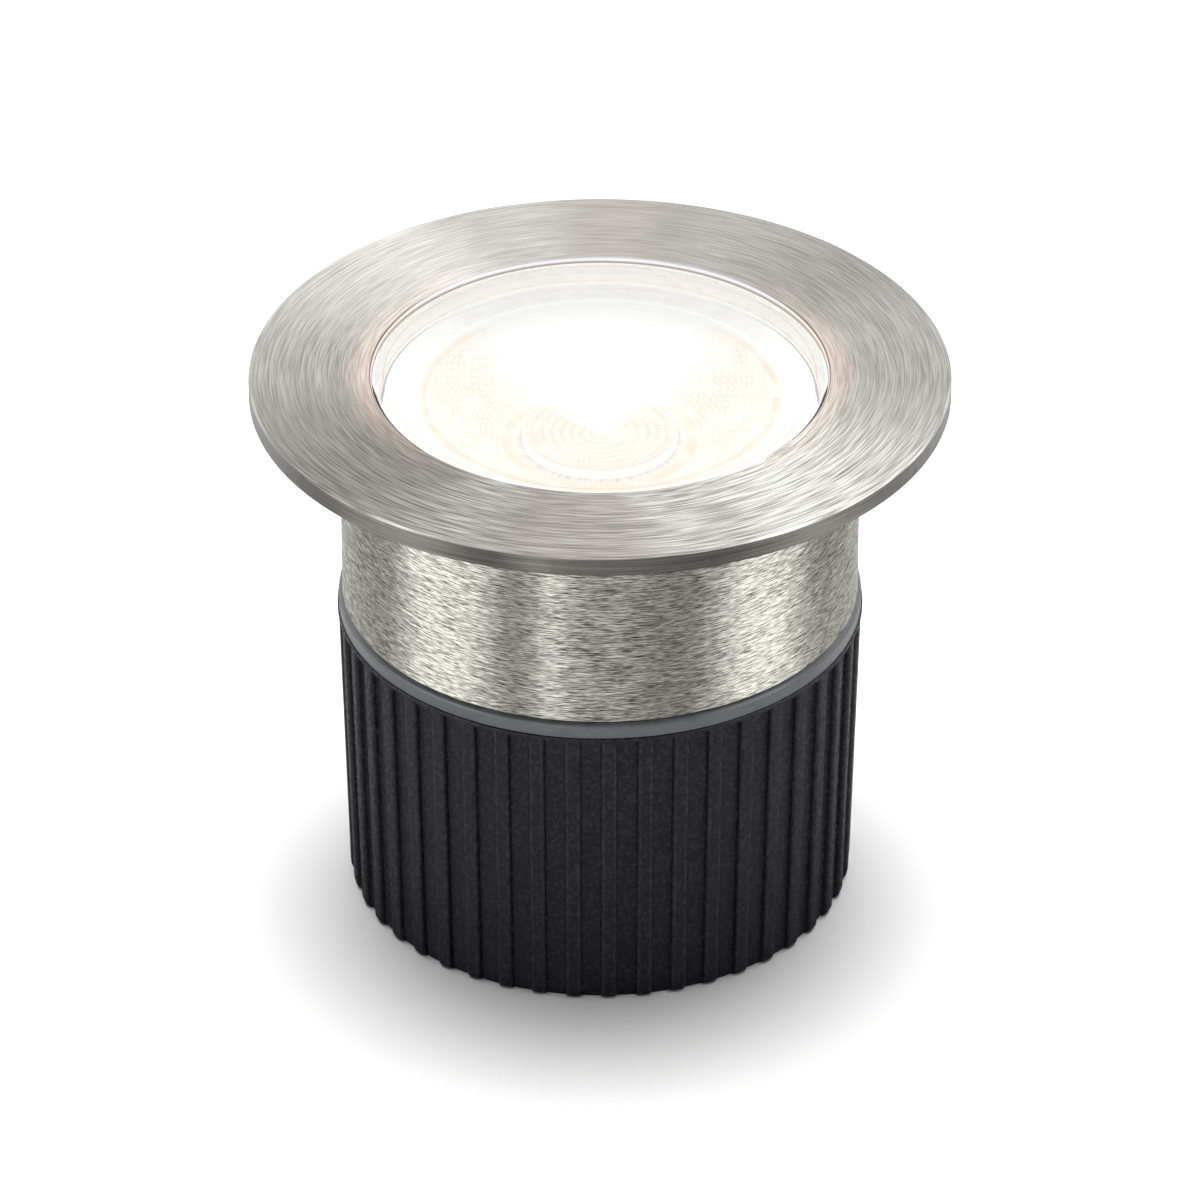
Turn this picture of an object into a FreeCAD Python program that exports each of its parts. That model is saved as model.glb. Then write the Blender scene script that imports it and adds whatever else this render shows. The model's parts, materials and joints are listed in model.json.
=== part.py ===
"""In-ground well light: a lamp head that stands in, and lifts out of, a ribbed ground canister.

Millimetres, +Z up, origin at the middle of the canister's base. Everything is turned or patterned about Z.
"""
import math
import os
import re

import FreeCAD
import Part
import Sketcher

V = FreeCAD.Vector

# Driving sizes. Each is a cell of the spreadsheet.
SIZES = {
    # face ring and barrel, stainless steel
    "face_diameter": 100.0,
    "flange_thickness": 2.9,
    "flange_chamfer": 0.3,
    "window_land": 4.6,
    "window_chamfer": 0.25,
    "barrel_diameter": 74.4,
    "barrel_wall": 1.2,
    # ground canister, moulded with draft
    "canister_height": 45.5,
    "crest_offset": 0.6,
    "draft_degrees": 1.4,
    "rib_count": 45.0,
    "rib_depth": 0.9,
    "rib_width": 2.2,
    "rib_corner": 0.4,
    "canister_wall": 2.0,
    "floor_thickness": 2.0,
    "ledge_thickness": 0.6,
    "ledge_overhang": 0.15,
    "base_recess": 0.8,
    "base_ring_width": 3.0,
    "base_chamfer": 0.7,
    "entry_diameter": 20.4,
    "collar_wall": 2.0,
    "collar_height": 1.5,
    "drain_diameter": 5.0,
    "drain_count": 4.0,
    "tongue_width": 1.0,
    "tongue_height": 1.2,
    "tongue_offset": 1.0,
    # rim seal on the canister's mouth
    "rim_height": 2.4,
    "rim_round": 0.9,
    "rim_overhang": 0.05,
    "seal_fit": 0.1,
    # window
    "glass_recess": 0.6,
    "glass_shoulder_thickness": 2.9,
    "glass_bevel": 0.35,
    "glass_bevel_width": 1.6,
    "window_gap": 0.15,
    "gasket_leg": 0.8,
    "gasket_wall": 0.8,
    "gasket_reveal": 1.6,
    "gasket_setback": 0.45,
    "edge_fit": 0.05,
    # optic and its holder
    "optic_gap": 0.3,
    "optic_rim": 1.5,
    "optic_height": 17.8,
    "optic_step": 1.0,
    "optic_foot_width": 2.8,
    "optic_flank_radius": 40.0,
    "led_pocket_diameter": 22.0,
    "led_pocket_depth": 3.3,
    "led_dome_drop": 1.4,
    "holder_fit": 0.3,
    "holder_brim": 4.2,
    "holder_wall": 1.5,
    "holder_ledge": 0.8,
    # light source stack
    "chip_gap": 0.3,
    "chip_ring_clearance": 0.1,
    "chip_ring_thickness": 1.6,
    "chip_diameter": 19.0,
    "chip_thickness": 1.0,
    "board_diameter": 42.0,
    "board_thickness": 1.6,
    "board_screw_inset": 2.25,
    "pad_thickness": 0.3,
    # housings
    "thread_fit": 0.1,
    "housing_wall": 4.6,
    "head_clearance": 2.1,
    "web_thickness": 5.0,
    "board_thread_depth": 3.0,
    "o_ring_section": 2.0,
    "o_ring_squeeze": 0.1,
    "o_ring_spacing": 6.0,
    "driver_step": 4.9,
    "driver_housing_wall": 5.0,
    "driver_housing_length": 18.2,
    "fin_count": 24.0,
    "fin_groove_width": 2.4,
    "fin_groove_depth": 1.2,
    "fin_end_margin": 2.5,
    "flat_gasket": 0.8,
    "cover_thickness": 3.0,
    "cover_screw_count": 4.0,
    "screw_diameter": 3.0,
    "screw_head_diameter": 5.6,
    "screw_head_height": 1.4,
    "screw_fit": 0.15,
    "thread_depth": 4.0,
    "centring_height": 3.0,
    "centring_gap": 0.3,
    # driver
    "driver_board_gap": 2.0,
    "driver_board_drop": 11.0,
    "post_across": 4.5,
    "post_inset": 3.0,
    "post_count": 3.0,
    "small_screw_diameter": 2.5,
    "small_head_diameter": 4.5,
    "small_head_height": 1.5,
    "board_head_diameter": 3.3,
    "capacitor_diameter": 8.0,
    "capacitor_height": 9.0,
    "coil_diameter": 12.0,
    "coil_height": 7.5,
    "chip_case_length": 7.0,
    "chip_case_width": 5.0,
    "chip_case_height": 2.0,
    "terminal_length": 10.2,
    "terminal_width": 7.5,
    "terminal_height": 8.0,
    "lead_diameter": 1.4,
    "lead_offset": 1.75,
    "lead_hole_fit": 0.4,
    "lead_bend": 1.6,
    "lead_spread": 14.0,
    # cable gland and breather in the rear cover
    "gland_thread_diameter": 12.0,
    "gland_flat_margin": 1.5,
    "gland_hex_height": 4.0,
    "gland_hole_fit": 0.1,
    "gland_neck_length": 8.5,
    "gland_stub": 0.5,
    "cable_diameter": 6.5,
    "cable_gap": 0.3,
    "seal_wall": 0.9,
    "seal_length": 7.0,
    "nut_fit": 0.08,
    "nut_gap": 0.4,
    "nut_length": 12.0,
    "nut_end_wall": 1.5,
    "nut_dome": 3.0,
    "locknut_thickness": 2.8,
    "gland_washer": 1.0,
    "vent_diameter": 9.0,
    "vent_height": 2.2,
    "vent_stem_diameter": 5.0,
}

# Heights and radii that follow from the driving sizes.
PLACES = {
    # radii of the lamp head, from the barrel inwards
    "barrel_outer": "barrel_diameter / 2",
    "barrel_inner": "barrel_outer - barrel_wall",
    "housing_radius": "barrel_inner - thread_fit",
    "cavity_radius": "housing_radius - housing_wall",
    "window_radius": "barrel_outer - window_land",
    "gasket_mouth": "window_radius + gasket_setback",
    "face_mouth": "window_radius + window_chamfer",
    "glass_boss": "window_radius - window_gap",
    "glass_edge": "housing_radius - gasket_wall - edge_fit",
    "gasket_bore": "window_radius - gasket_reveal",
    "holder_radius": "gasket_bore - holder_fit",
    "optic_radius": "holder_radius - holder_brim",
    "holder_bore": "optic_radius - holder_ledge",
    "optic_shoulder": "holder_bore - optic_step",
    "pocket_radius": "led_pocket_diameter / 2",
    "optic_foot": "pocket_radius + optic_foot_width",
    "o_ring_centre": "barrel_inner - o_ring_squeeze - o_ring_section / 2",
    # canister and rim
    "slope": "tan(draft_degrees)",
    "crest_top": "barrel_outer + crest_offset",
    "ledge_under": "canister_height - ledge_thickness",
    "root_top": "crest_top - rib_depth",
    "root_base": "root_top - ledge_under * slope",
    "ledge_radius": "crest_top + ledge_overhang",
    "floor_top": "base_recess + floor_thickness",
    "bore_base": "root_base + floor_top * slope - canister_wall",
    "bore_top": "bore_base + (canister_height - floor_top) * slope",
    "entry_radius": "entry_diameter / 2",
    "collar_radius": "entry_radius + collar_wall",
    "drain_place": "(collar_radius + bore_base) / 2",
    "tongue_outer": "crest_top - tongue_offset",
    "tongue_inner": "tongue_outer - tongue_width",
    "tongue_top": "canister_height + tongue_height",
    "seal_mouth": "tongue_inner - tongue_offset",
    "rim_outer": "crest_top - rim_overhang",
    # levels of the lamp head, from the rim upwards
    "rim_top": "canister_height + rim_height",
    "web_under": "rim_top + head_clearance",
    "seat": "web_under + web_thickness",
    "board_under": "seat + pad_thickness",
    "board_top": "board_under + board_thickness",
    "optic_base": "board_top + chip_ring_thickness",
    "pocket_ceiling": "optic_base + led_pocket_depth",
    "optic_top": "optic_base + optic_height",
    "optic_ledge": "optic_top - optic_rim",
    "glass_under": "optic_top + optic_gap",
    "housing_top": "glass_under - gasket_leg",
    "glass_shoulder": "glass_under + glass_shoulder_thickness",
    "flange_under": "glass_shoulder + gasket_leg",
    "face_top": "flange_under + flange_thickness",
    "glass_top": "face_top - glass_recess",
    # levels of the lamp head, from the web downwards
    "driver_top": "web_under - flat_gasket",
    "driver_under": "driver_top - driver_housing_length",
    "cover_top": "driver_under - flat_gasket",
    "cover_under": "cover_top - cover_thickness",
    "head_seat": "cover_under + screw_head_height",
    "screw_end": "web_under + thread_depth",
    "washer_under": "cover_under - gland_washer",
    "hex_under": "washer_under - gland_hex_height",
    "neck_end": "hex_under - gland_neck_length",
    "locknut_top": "cover_top + locknut_thickness",
    "stub_end": "locknut_top + gland_stub",
    "nut_top": "hex_under - nut_gap",
    "nut_end": "nut_top - nut_length",
    "nut_waist": "nut_end + nut_length / 2",
    "driver_board_top": "web_under - driver_board_drop",
    "driver_board_under": "driver_board_top - board_thickness",
    "centring_top": "canister_height + rim_height / 2 + centring_height / 2",
    "centring_under": "centring_top - centring_height",
    "fin_top": "centring_under - fin_end_margin / 4",
    # light source and driver, across
    "board_radius": "board_diameter / 2",
    "board_screw_place": "board_radius - board_screw_inset",
    "board_head": "board_head_diameter / 2",
    "chip_ring_radius": "board_screw_place - board_head - chip_ring_clearance",
    "chip_radius": "chip_diameter / 2",
    "lead_place": "board_radius + lead_offset",
    "driver_radius": "housing_radius - driver_step",
    "driver_bore": "driver_radius - driver_housing_wall",
    "driver_board_radius": "driver_bore - driver_board_gap",
    "post_place": "driver_board_radius - post_inset",
    "cover_screw_place": "driver_radius - driver_housing_wall / 2",
    "centring_radius": "seal_mouth - centring_gap",
    "screw_radius": "screw_diameter / 2",
    "screw_hole": "screw_radius + screw_fit",
    "head_radius": "screw_head_diameter / 2",
    "small_screw": "small_screw_diameter / 2",
    "small_hole": "small_screw + screw_fit",
    "small_head": "small_head_diameter / 2",
    # gland and breather, across
    "gland_thread": "gland_thread_diameter / 2",
    "gland_hole": "gland_thread + gland_hole_fit",
    "gland_across": "gland_thread_diameter + 2 * gland_flat_margin",
    "gland_corner": "gland_across / 2 / cos(30)",
    "cable_radius": "cable_diameter / 2",
    "cable_hole": "cable_radius + cable_gap",
    "seal_outer": "cable_radius + seal_wall",
    "vent_radius": "vent_diameter / 2",
    "vent_stem": "vent_stem_diameter / 2",
    "vent_place": "(gland_corner + driver_bore) / 2",
}

doc = FreeCAD.newDocument("WellLight")


# ---------------------------------------------------------------- sheet and expressions

def make_sheet():
    """The spreadsheet of driving sizes: names in column A, aliased numbers in column B."""
    sheet = doc.addObject("Spreadsheet::Sheet", "Dims")
    for row, (name, size) in enumerate(SIZES.items(), start=1):
        sheet.set(f"A{row}", name)
        sheet.set(f"B{row}", str(size))
        sheet.setAlias(f"B{row}", name)
    doc.recompute()
    return sheet


def bound(text):
    """The expression with each name replaced by its cell or by its own expression."""
    def swap(match):
        word = match.group()
        if word in PLACES:
            return f"({bound(PLACES[word])})"
        return f"Dims.{word}" if word in SIZES else word
    return re.sub(r"[A-Za-z_]\w*", swap, str(text))


def value(text):
    """The expression's number at the sheet's present sizes."""
    return float(doc.Dims.evalExpression(bound(text)))


def bind(item, **properties):
    """Bind properties of a document object to expressions."""
    for name, text in properties.items():
        item.setExpression(name, bound(text))
    return item


# ---------------------------------------------------------------- sketches and features

def new_body(label):
    """An empty body whose label names its file."""
    body = doc.addObject("PartDesign::Body", label)
    body.Label = label
    return body


def origin_item(body, role):
    """One of the body's own origin planes or axes."""
    return next(item for item in body.Origin.OriginFeatures if item.Role == role)


def new_sketch(body, role="XZ_Plane", level="0"):
    """An empty sketch on an origin plane, raised along the plane's normal to a level."""
    sketch = body.newObject("Sketcher::SketchObject", body.Label + "_outline")
    sketch.AttachmentSupport = [(origin_item(body, role), "")]
    sketch.MapMode = "FlatFace"
    sketch.setExpression("AttachmentOffset.Base.z", bound(level))
    return sketch


def pin(sketch, geometry, point, across, up):
    """Fix one point of the sketch by two expressions measured from the origin."""
    for kind, text in (("DistanceX", across), ("DistanceY", up)):
        index = sketch.addConstraint(Sketcher.Constraint(kind, -1, 1, geometry, point, value(text)))
        sketch.setExpression(f"Constraints[{index}]", bound(text))


def arc_edge(start, end, radius):
    """An arc between two points; a positive radius bulges to the right of the way from start to end."""
    chord = end - start
    right = V(chord.y, -chord.x, 0).normalize()
    reach = abs(radius)
    rise = reach - math.sqrt(max(reach ** 2 - (chord.Length / 2) ** 2, 0))
    middle = (start + end) * 0.5 + right * math.copysign(rise, radius)
    return Part.Arc(start, middle, end)


def draw(sketch, corners, arcs=None):
    """A closed outline through corners, with arcs {side number: signed radius expression}."""
    arcs = arcs or {}
    points = [V(value(across), value(up), 0) for across, up in corners]
    first = sketch.GeometryCount
    ends = []
    for side, start in enumerate(points):
        end = points[(side + 1) % len(points)]
        forward = True
        if side in arcs:
            edge = arc_edge(start, end, value(arcs[side]))
            sketch.addGeometry(edge, False)
            drawn_from = sketch.Geometry[-1].StartPoint
            forward = (drawn_from - start).Length < (drawn_from - end).Length
        else:
            sketch.addGeometry(Part.LineSegment(start, end), False)
        ends.append((1, 2) if forward else (2, 1))
    for side in range(len(points)):
        after = (side + 1) % len(points)
        joint = ("Coincident", first + side, ends[side][1], first + after, ends[after][0])
        sketch.addConstraint(Sketcher.Constraint(*joint))
    for side, (across, up) in enumerate(corners):
        pin(sketch, first + side, ends[side][0], across, up)
    for side, radius in arcs.items():
        index = sketch.addConstraint(Sketcher.Constraint("Radius", first + side, abs(value(radius))))
        sketch.setExpression(f"Constraints[{index}]", bound(f"abs({radius})"))
    return sketch


def circle(sketch, across, up, radius):
    """A circle with its centre and radius bound."""
    centre = V(value(across), value(up), 0)
    index = sketch.addGeometry(Part.Circle(centre, V(0, 0, 1), value(radius)), False)
    pin(sketch, index, 3, across, up)
    constraint = sketch.addConstraint(Sketcher.Constraint("Radius", index, value(radius)))
    sketch.setExpression(f"Constraints[{constraint}]", bound(radius))
    return sketch


def hexagon(sketch, across_flats):
    """A hexagon about the origin with two corners on the X axis."""
    corner = f"({across_flats}) / 2 / cos(30)"
    corners = [(f"{corner} * cos({60 * step})", f"{corner} * sin({60 * step})") for step in range(6)]
    return draw(sketch, corners)


def turn(body, corners, arcs=None, cut=False):
    """Revolve an outline of (radius, height) corners about Z, to add it or to cut it away."""
    sketch = draw(new_sketch(body), corners, arcs)
    kind = "PartDesign::Groove" if cut else "PartDesign::Revolution"
    feature = body.newObject(kind, body.Label + "_turn")
    feature.Profile = sketch
    feature.ReferenceAxis = (sketch, ["V_Axis"])
    feature.Angle = 360
    doc.recompute()
    return feature


def pad(body, sketch, height):
    """Raise a sketch upwards."""
    feature = body.newObject("PartDesign::Pad", body.Label + "_pad")
    feature.Profile = sketch
    bind(feature, Length=height)
    doc.recompute()
    return feature


def pocket(body, sketch, depth):
    """Cut a sketch downwards from its own level."""
    before = body.Shape.Volume
    feature = body.newObject("PartDesign::Pocket", body.Label + "_pocket")
    feature.Profile = sketch
    bind(feature, Length=depth)
    doc.recompute()
    if body.Shape.Volume >= before:
        raise ValueError(f"{body.Label}: a pocket cuts nothing")
    return feature


def around(body, features, count):
    """Repeat features evenly about Z."""
    pattern = body.newObject("PartDesign::PolarPattern", body.Label + "_pattern")
    pattern.Originals = features
    pattern.Axis = (origin_item(body, "Z_Axis"), [""])
    pattern.Angle = 360
    bind(pattern, Occurrences=count)
    body.Tip = pattern
    doc.recompute()
    return pattern


def turned(label, corners, arcs=None):
    """A body turned from one outline."""
    body = new_body(label)
    turn(body, corners, arcs)
    return body


def drill(body, level, depth, place, radius, count="1"):
    """Round holes cut down from a level, evenly spaced on a circle whose radius is the place."""
    hole = pocket(body, circle(new_sketch(body, "XY_Plane", level), place, "0", radius), depth)
    if value(count) > 1:
        around(body, [hole], count)
    return hole


def ring_section(inner, outer, under, over):
    """The outline of a plain ring."""
    return [(inner, under), (outer, under), (outer, over), (inner, over)]


def stacked_pins(label, place, steps, count):
    """Separate round pins on a circle, each a stack of (radius, under, over) steps."""
    body = new_body(label)
    features = []
    for radius, under, over in steps:
        sketch = circle(new_sketch(body, "XY_Plane", under), place, "0", radius)
        features.append(pad(body, sketch, f"({over}) - ({under})"))
    around(body, features, count)
    return body


def cut_flats(body, across_flats, under, over):
    """Leave only a hexagon between two levels."""
    sketch = new_sketch(body, "XY_Plane", over)
    circle(sketch, "0", "0", f"({across_flats}) / 2 / cos(30) + 2")
    hexagon(sketch, across_flats)
    return pocket(body, sketch, f"({over}) - ({under})")


# ---------------------------------------------------------------- ground canister

def ground_canister():
    """The moulded can: drafted wall, ribs with broken corners, ledge, seal tongue, floor and drains."""
    body = turned("ground_canister", [
        ("entry_radius", "base_recess"),
        ("root_base - base_ring_width", "base_recess"),
        ("root_base - base_ring_width", "0"),
        ("root_base", "0"),
        ("root_top", "ledge_under"),
        ("ledge_radius", "ledge_under"),
        ("ledge_radius", "canister_height"),
        ("tongue_outer", "canister_height"),
        ("tongue_outer", "tongue_top"),
        ("tongue_inner", "tongue_top"),
        ("tongue_inner", "canister_height"),
        ("bore_top", "canister_height"),
        ("bore_base", "floor_top"),
        ("collar_radius", "floor_top"),
        ("collar_radius", "floor_top + collar_height"),
        ("entry_radius", "floor_top + collar_height"),
    ])
    canister_ribs(body)
    crest_base = "root_base + rib_depth"
    turn(body, [
        (f"{crest_base} - base_chamfer", "0"),
        (f"{crest_base} + base_chamfer", "0"),
        (f"{crest_base} + base_chamfer", "base_chamfer * 2"),
    ], cut=True)
    drill(body, "floor_top", "floor_thickness", "drain_place", "drain_diameter / 2", "drain_count")
    return body


def canister_ribs(body):
    """One rib drawn at the base, raised along the drafted wall and repeated round the can."""
    sunk = "root_base - canister_wall / 2"
    crest = "root_base + rib_depth"
    half = "rib_width / 2"
    sketch = draw(new_sketch(body, "XY_Plane"), [
        (sunk, f"0 - {half}"),
        (f"{crest} - rib_corner", f"0 - {half}"),
        (crest, f"rib_corner - {half}"),
        (crest, f"{half} - rib_corner"),
        (f"{crest} - rib_corner", half),
        (sunk, half),
    ])
    rib = body.newObject("PartDesign::Pad", "canister_rib")
    rib.Profile = sketch
    rib.UseCustomVector = True
    rib.Direction = V(value("slope"), 0, 1)
    rib.AlongSketchNormal = True
    rib.setExpression("Direction.x", bound("slope"))
    bind(rib, Length="ledge_under")
    doc.recompute()
    around(body, [rib], "rib_count")


def rim_seal():
    """The grey ring on the canister's mouth: rounded outer edge above, groove for the tongue below."""
    return turned("rim_seal", [
        ("seal_mouth", "canister_height"),
        ("tongue_inner - seal_fit", "canister_height"),
        ("tongue_inner - seal_fit", "tongue_top + seal_fit"),
        ("tongue_outer + seal_fit", "tongue_top + seal_fit"),
        ("tongue_outer + seal_fit", "canister_height"),
        ("rim_outer", "canister_height"),
        ("rim_outer", "rim_top - rim_round"),
        ("rim_outer - rim_round", "rim_top"),
        ("seal_mouth", "rim_top"),
    ], arcs={6: "rim_round"})


# ---------------------------------------------------------------- face ring, barrel and window

def face_ring():
    """The flat stainless flange, with its broken outer edge and the window's chamfer."""
    return turned("face_ring", [
        ("window_radius", "flange_under"),
        ("face_diameter / 2", "flange_under"),
        ("face_diameter / 2", "face_top - flange_chamfer"),
        ("face_diameter / 2 - flange_chamfer", "face_top"),
        ("face_mouth", "face_top"),
        ("window_radius", "face_top - window_chamfer"),
    ])


def barrel_sleeve():
    """The stainless tube welded under the face ring, with a small chamfer at its lower edge."""
    return turned("barrel_sleeve", [
        ("barrel_inner", "rim_top"),
        ("barrel_outer - flange_chamfer", "rim_top"),
        ("barrel_outer", "rim_top + flange_chamfer"),
        ("barrel_outer", "flange_under"),
        ("barrel_inner", "flange_under"),
    ])


def glass_lens():
    """The stepped glass: its boss fills the window, its shoulder is clamped under the flange."""
    return turned("glass_lens", [
        ("0", "glass_under"),
        ("glass_edge", "glass_under"),
        ("glass_edge", "glass_shoulder"),
        ("glass_boss", "glass_shoulder"),
        ("glass_boss", "glass_top - glass_bevel"),
        ("glass_boss - glass_bevel_width", "glass_top"),
        ("0", "glass_top"),
    ])


def glass_gasket():
    """The channel gasket round the glass edge, sealing above to the flange and below to the housing."""
    return turned("glass_gasket", [
        ("gasket_bore", "housing_top"),
        ("housing_radius", "housing_top"),
        ("housing_radius", "flange_under"),
        ("gasket_mouth", "flange_under"),
        ("gasket_mouth", "glass_shoulder"),
        ("glass_edge + edge_fit", "glass_shoulder"),
        ("glass_edge + edge_fit", "glass_under"),
        ("gasket_bore", "glass_under"),
    ])


# ---------------------------------------------------------------- optic and light source

def optic_holder():
    """The white carrier: a skirt that stands on the housing and a stepped ring round the optic's rim."""
    return turned("optic_holder", [
        ("holder_radius - holder_wall", "seat"),
        ("holder_radius", "seat"),
        ("holder_radius", "optic_top"),
        ("optic_radius + edge_fit", "optic_top"),
        ("optic_radius + edge_fit", "optic_ledge"),
        ("holder_bore", "optic_ledge"),
        ("holder_bore", "optic_ledge - holder_wall"),
        ("holder_radius - holder_wall", "optic_ledge - holder_wall"),
    ])


def tir_optic():
    """The solid collimator: flat top, curved flank and a domed pocket over the light source."""
    return turned("tir_optic", [
        ("0", "pocket_ceiling - led_dome_drop"),
        ("pocket_radius", "pocket_ceiling"),
        ("pocket_radius", "optic_base"),
        ("optic_foot", "optic_base"),
        ("optic_shoulder", "optic_ledge"),
        ("optic_radius", "optic_ledge"),
        ("optic_radius", "optic_top"),
        ("0", "optic_top"),
    ], arcs={3: "optic_flank_radius"})


def chip_ring():
    """The white ring that clamps the light source to its board and carries the optic's foot."""
    return turned("chip_ring", [
        ("chip_radius + chip_gap", "board_top"),
        ("chip_ring_radius", "board_top"),
        ("chip_ring_radius", "optic_base"),
        ("chip_radius + chip_gap + chip_ring_thickness / 2", "optic_base"),
    ])


def light_source():
    """The phosphor disc on its substrate."""
    return turned("light_source",
                  ring_section("0", "chip_radius", "board_top", "board_top + chip_thickness"))


def led_board():
    """The metal-core board, with holes for its three screws."""
    body = turned("led_board", ring_section("0", "board_radius", "board_under", "board_top"))
    drill(body, "board_top", "board_thickness", "board_screw_place", "small_hole", "3")
    return body


def thermal_pad():
    """The pad between the board and the housing, with clearance round the board's screws."""
    body = turned("thermal_pad", ring_section("0", "board_radius", "seat", "board_under"))
    drill(body, "board_under", "pad_thickness", "board_screw_place", "small_hole", "3")
    return body


def led_board_screws():
    """Three screws from the board into the housing web."""
    return stacked_pins("led_board_screws", "board_screw_place", [
        ("small_screw", "seat - board_thread_depth", "board_top"),
        ("board_head", "board_top", "board_top + small_head_height"),
    ], "3")


# ---------------------------------------------------------------- housings and seals

def led_housing():
    """The aluminium cup under the glass: cavity, thick web, O-ring grooves, screw and lead holes."""
    groove_half = "o_ring_section / 2 + edge_fit"
    groove_root = "o_ring_centre - o_ring_section / 2"
    outline = [
        ("0", "web_under"),
        ("housing_radius - web_thickness / 2", "web_under"),
        ("housing_radius", "web_under + web_thickness / 2"),
    ]
    for place in ("seat + o_ring_spacing", "seat + 2 * o_ring_spacing"):
        outline += [
            ("housing_radius", f"{place} - ({groove_half})"),
            (groove_root, f"{place} - ({groove_half})"),
            (groove_root, f"{place} + ({groove_half})"),
            ("housing_radius", f"{place} + ({groove_half})"),
        ]
    outline += [
        ("housing_radius", "housing_top"),
        ("cavity_radius", "housing_top"),
        ("cavity_radius", "seat"),
        ("0", "seat"),
    ]
    body = turned("led_housing", outline)
    drill(body, "seat", "board_thread_depth", "board_screw_place", "small_screw", "3")
    drill(body, "screw_end", "thread_depth", "cover_screw_place", "screw_radius", "cover_screw_count")
    lead_holes(body, "seat", "web_thickness")
    return body


def lead_point(sign):
    """Where a lead passes through the web: its two coordinates, one each side of the Y axis."""
    return f"lead_place * sin({sign} * lead_spread)", "lead_place * cos(lead_spread)"


def lead_holes(body, level, depth):
    """Two holes for the leads."""
    sketch = new_sketch(body, "XY_Plane", level)
    for sign in (-1, 1):
        circle(sketch, *lead_point(sign), "lead_diameter / 2 + lead_hole_fit")
    return pocket(body, sketch, depth)


def housing_o_rings():
    """The two rings between the housing and the barrel, squeezed nearly flat on their four sides."""
    body = new_body("housing_o_rings")
    half = "o_ring_section / 2"
    flat = "o_ring_section / 4"
    for number in (1, 2):
        height = f"seat + {number} * o_ring_spacing"
        turn(body, [
            (f"o_ring_centre - {half}", f"{height} - {flat}"),
            (f"o_ring_centre - {flat}", f"{height} - {half}"),
            (f"o_ring_centre + {flat}", f"{height} - {half}"),
            (f"o_ring_centre + {half}", f"{height} - {flat}"),
            (f"o_ring_centre + {half}", f"{height} + {flat}"),
            (f"o_ring_centre + {flat}", f"{height} + {half}"),
            (f"o_ring_centre - {flat}", f"{height} + {half}"),
            (f"o_ring_centre - {half}", f"{height} + {flat}"),
        ])
    return body


def flat_ring(label, under, over):
    """A flat gasket on the driver housing's wall, with holes for the long screws."""
    body = turned(label, ring_section("driver_bore", "driver_radius", under, over))
    drill(body, over, f"({over}) - ({under})", "cover_screw_place", "screw_hole", "cover_screw_count")
    return body


def driver_housing():
    """The finned aluminium tube round the driver, hung from the LED housing by the long screws."""
    body = turned("driver_housing",
                  ring_section("driver_bore", "driver_radius", "driver_under", "driver_top"))
    sketch = draw(new_sketch(body, "XY_Plane", "fin_top"), [
        ("driver_radius - fin_groove_depth", "0 - fin_groove_width / 2"),
        ("driver_radius + fin_groove_depth", "0 - fin_groove_width / 2"),
        ("driver_radius + fin_groove_depth", "fin_groove_width / 2"),
        ("driver_radius - fin_groove_depth", "fin_groove_width / 2"),
    ])
    groove = pocket(body, sketch, "fin_top - driver_under - fin_end_margin")
    around(body, [groove], "fin_count")
    drill(body, "driver_top", "driver_housing_length", "cover_screw_place", "screw_hole",
          "cover_screw_count")
    return body


def centring_ring():
    """The rubber ring that centres the lamp head in the canister's mouth."""
    return turned("centring_ring", [
        ("driver_radius", "centring_under"),
        ("centring_radius - centring_height / 3", "centring_under"),
        ("centring_radius", "centring_under + centring_height / 3"),
        ("centring_radius", "centring_top - centring_height / 3"),
        ("centring_radius - centring_height / 3", "centring_top"),
        ("driver_radius", "centring_top"),
    ])


def rear_cover():
    """The cover plate: countersunk screw holes, gland hole and breather hole."""
    body = turned("rear_cover", ring_section("gland_hole", "driver_radius", "cover_under", "cover_top"))
    screw_hole = drill(body, "cover_top", "cover_thickness", "cover_screw_place", "screw_hole")
    sketch = new_sketch(body, "XY_Plane", "head_seat")
    circle(sketch, "cover_screw_place", "0", "head_radius + screw_fit")
    head_hole = pocket(body, sketch, "screw_head_height")
    around(body, [screw_hole, head_hole], "cover_screw_count")
    sketch = new_sketch(body, "XY_Plane", "cover_top")
    circle(sketch, "0", "vent_place", "vent_stem + screw_fit")
    pocket(body, sketch, "cover_thickness")
    return body


def cover_screws():
    """The long screws through cover, gaskets and driver housing into the LED housing."""
    return stacked_pins("cover_screws", "cover_screw_place", [
        ("head_radius", "cover_under", "head_seat"),
        ("screw_radius", "head_seat", "screw_end"),
    ], "cover_screw_count")


# ---------------------------------------------------------------- driver

def driver_board():
    """The round board under the web, with post holes."""
    body = turned("driver_board",
                  ring_section("0", "driver_board_radius", "driver_board_under", "driver_board_top"))
    drill(body, "driver_board_top", "board_thickness", "post_place", "small_hole", "post_count")
    return body


def driver_posts():
    """The hexagonal spacers between the web and the driver board."""
    body = new_body("driver_posts")
    sketch = new_sketch(body, "XY_Plane", "driver_board_top")
    corner = "post_across / 2 / cos(30)"
    draw(sketch, [(f"post_place + {corner} * cos({60 * step})", f"{corner} * sin({60 * step})")
                  for step in range(6)])
    post = pad(body, sketch, "driver_board_drop")
    sketch = new_sketch(body, "XY_Plane", "driver_board_top + thread_depth")
    circle(sketch, "post_place", "0", "small_screw")
    hole = pocket(body, sketch, "thread_depth")
    around(body, [post, hole], "post_count")
    return body


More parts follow.
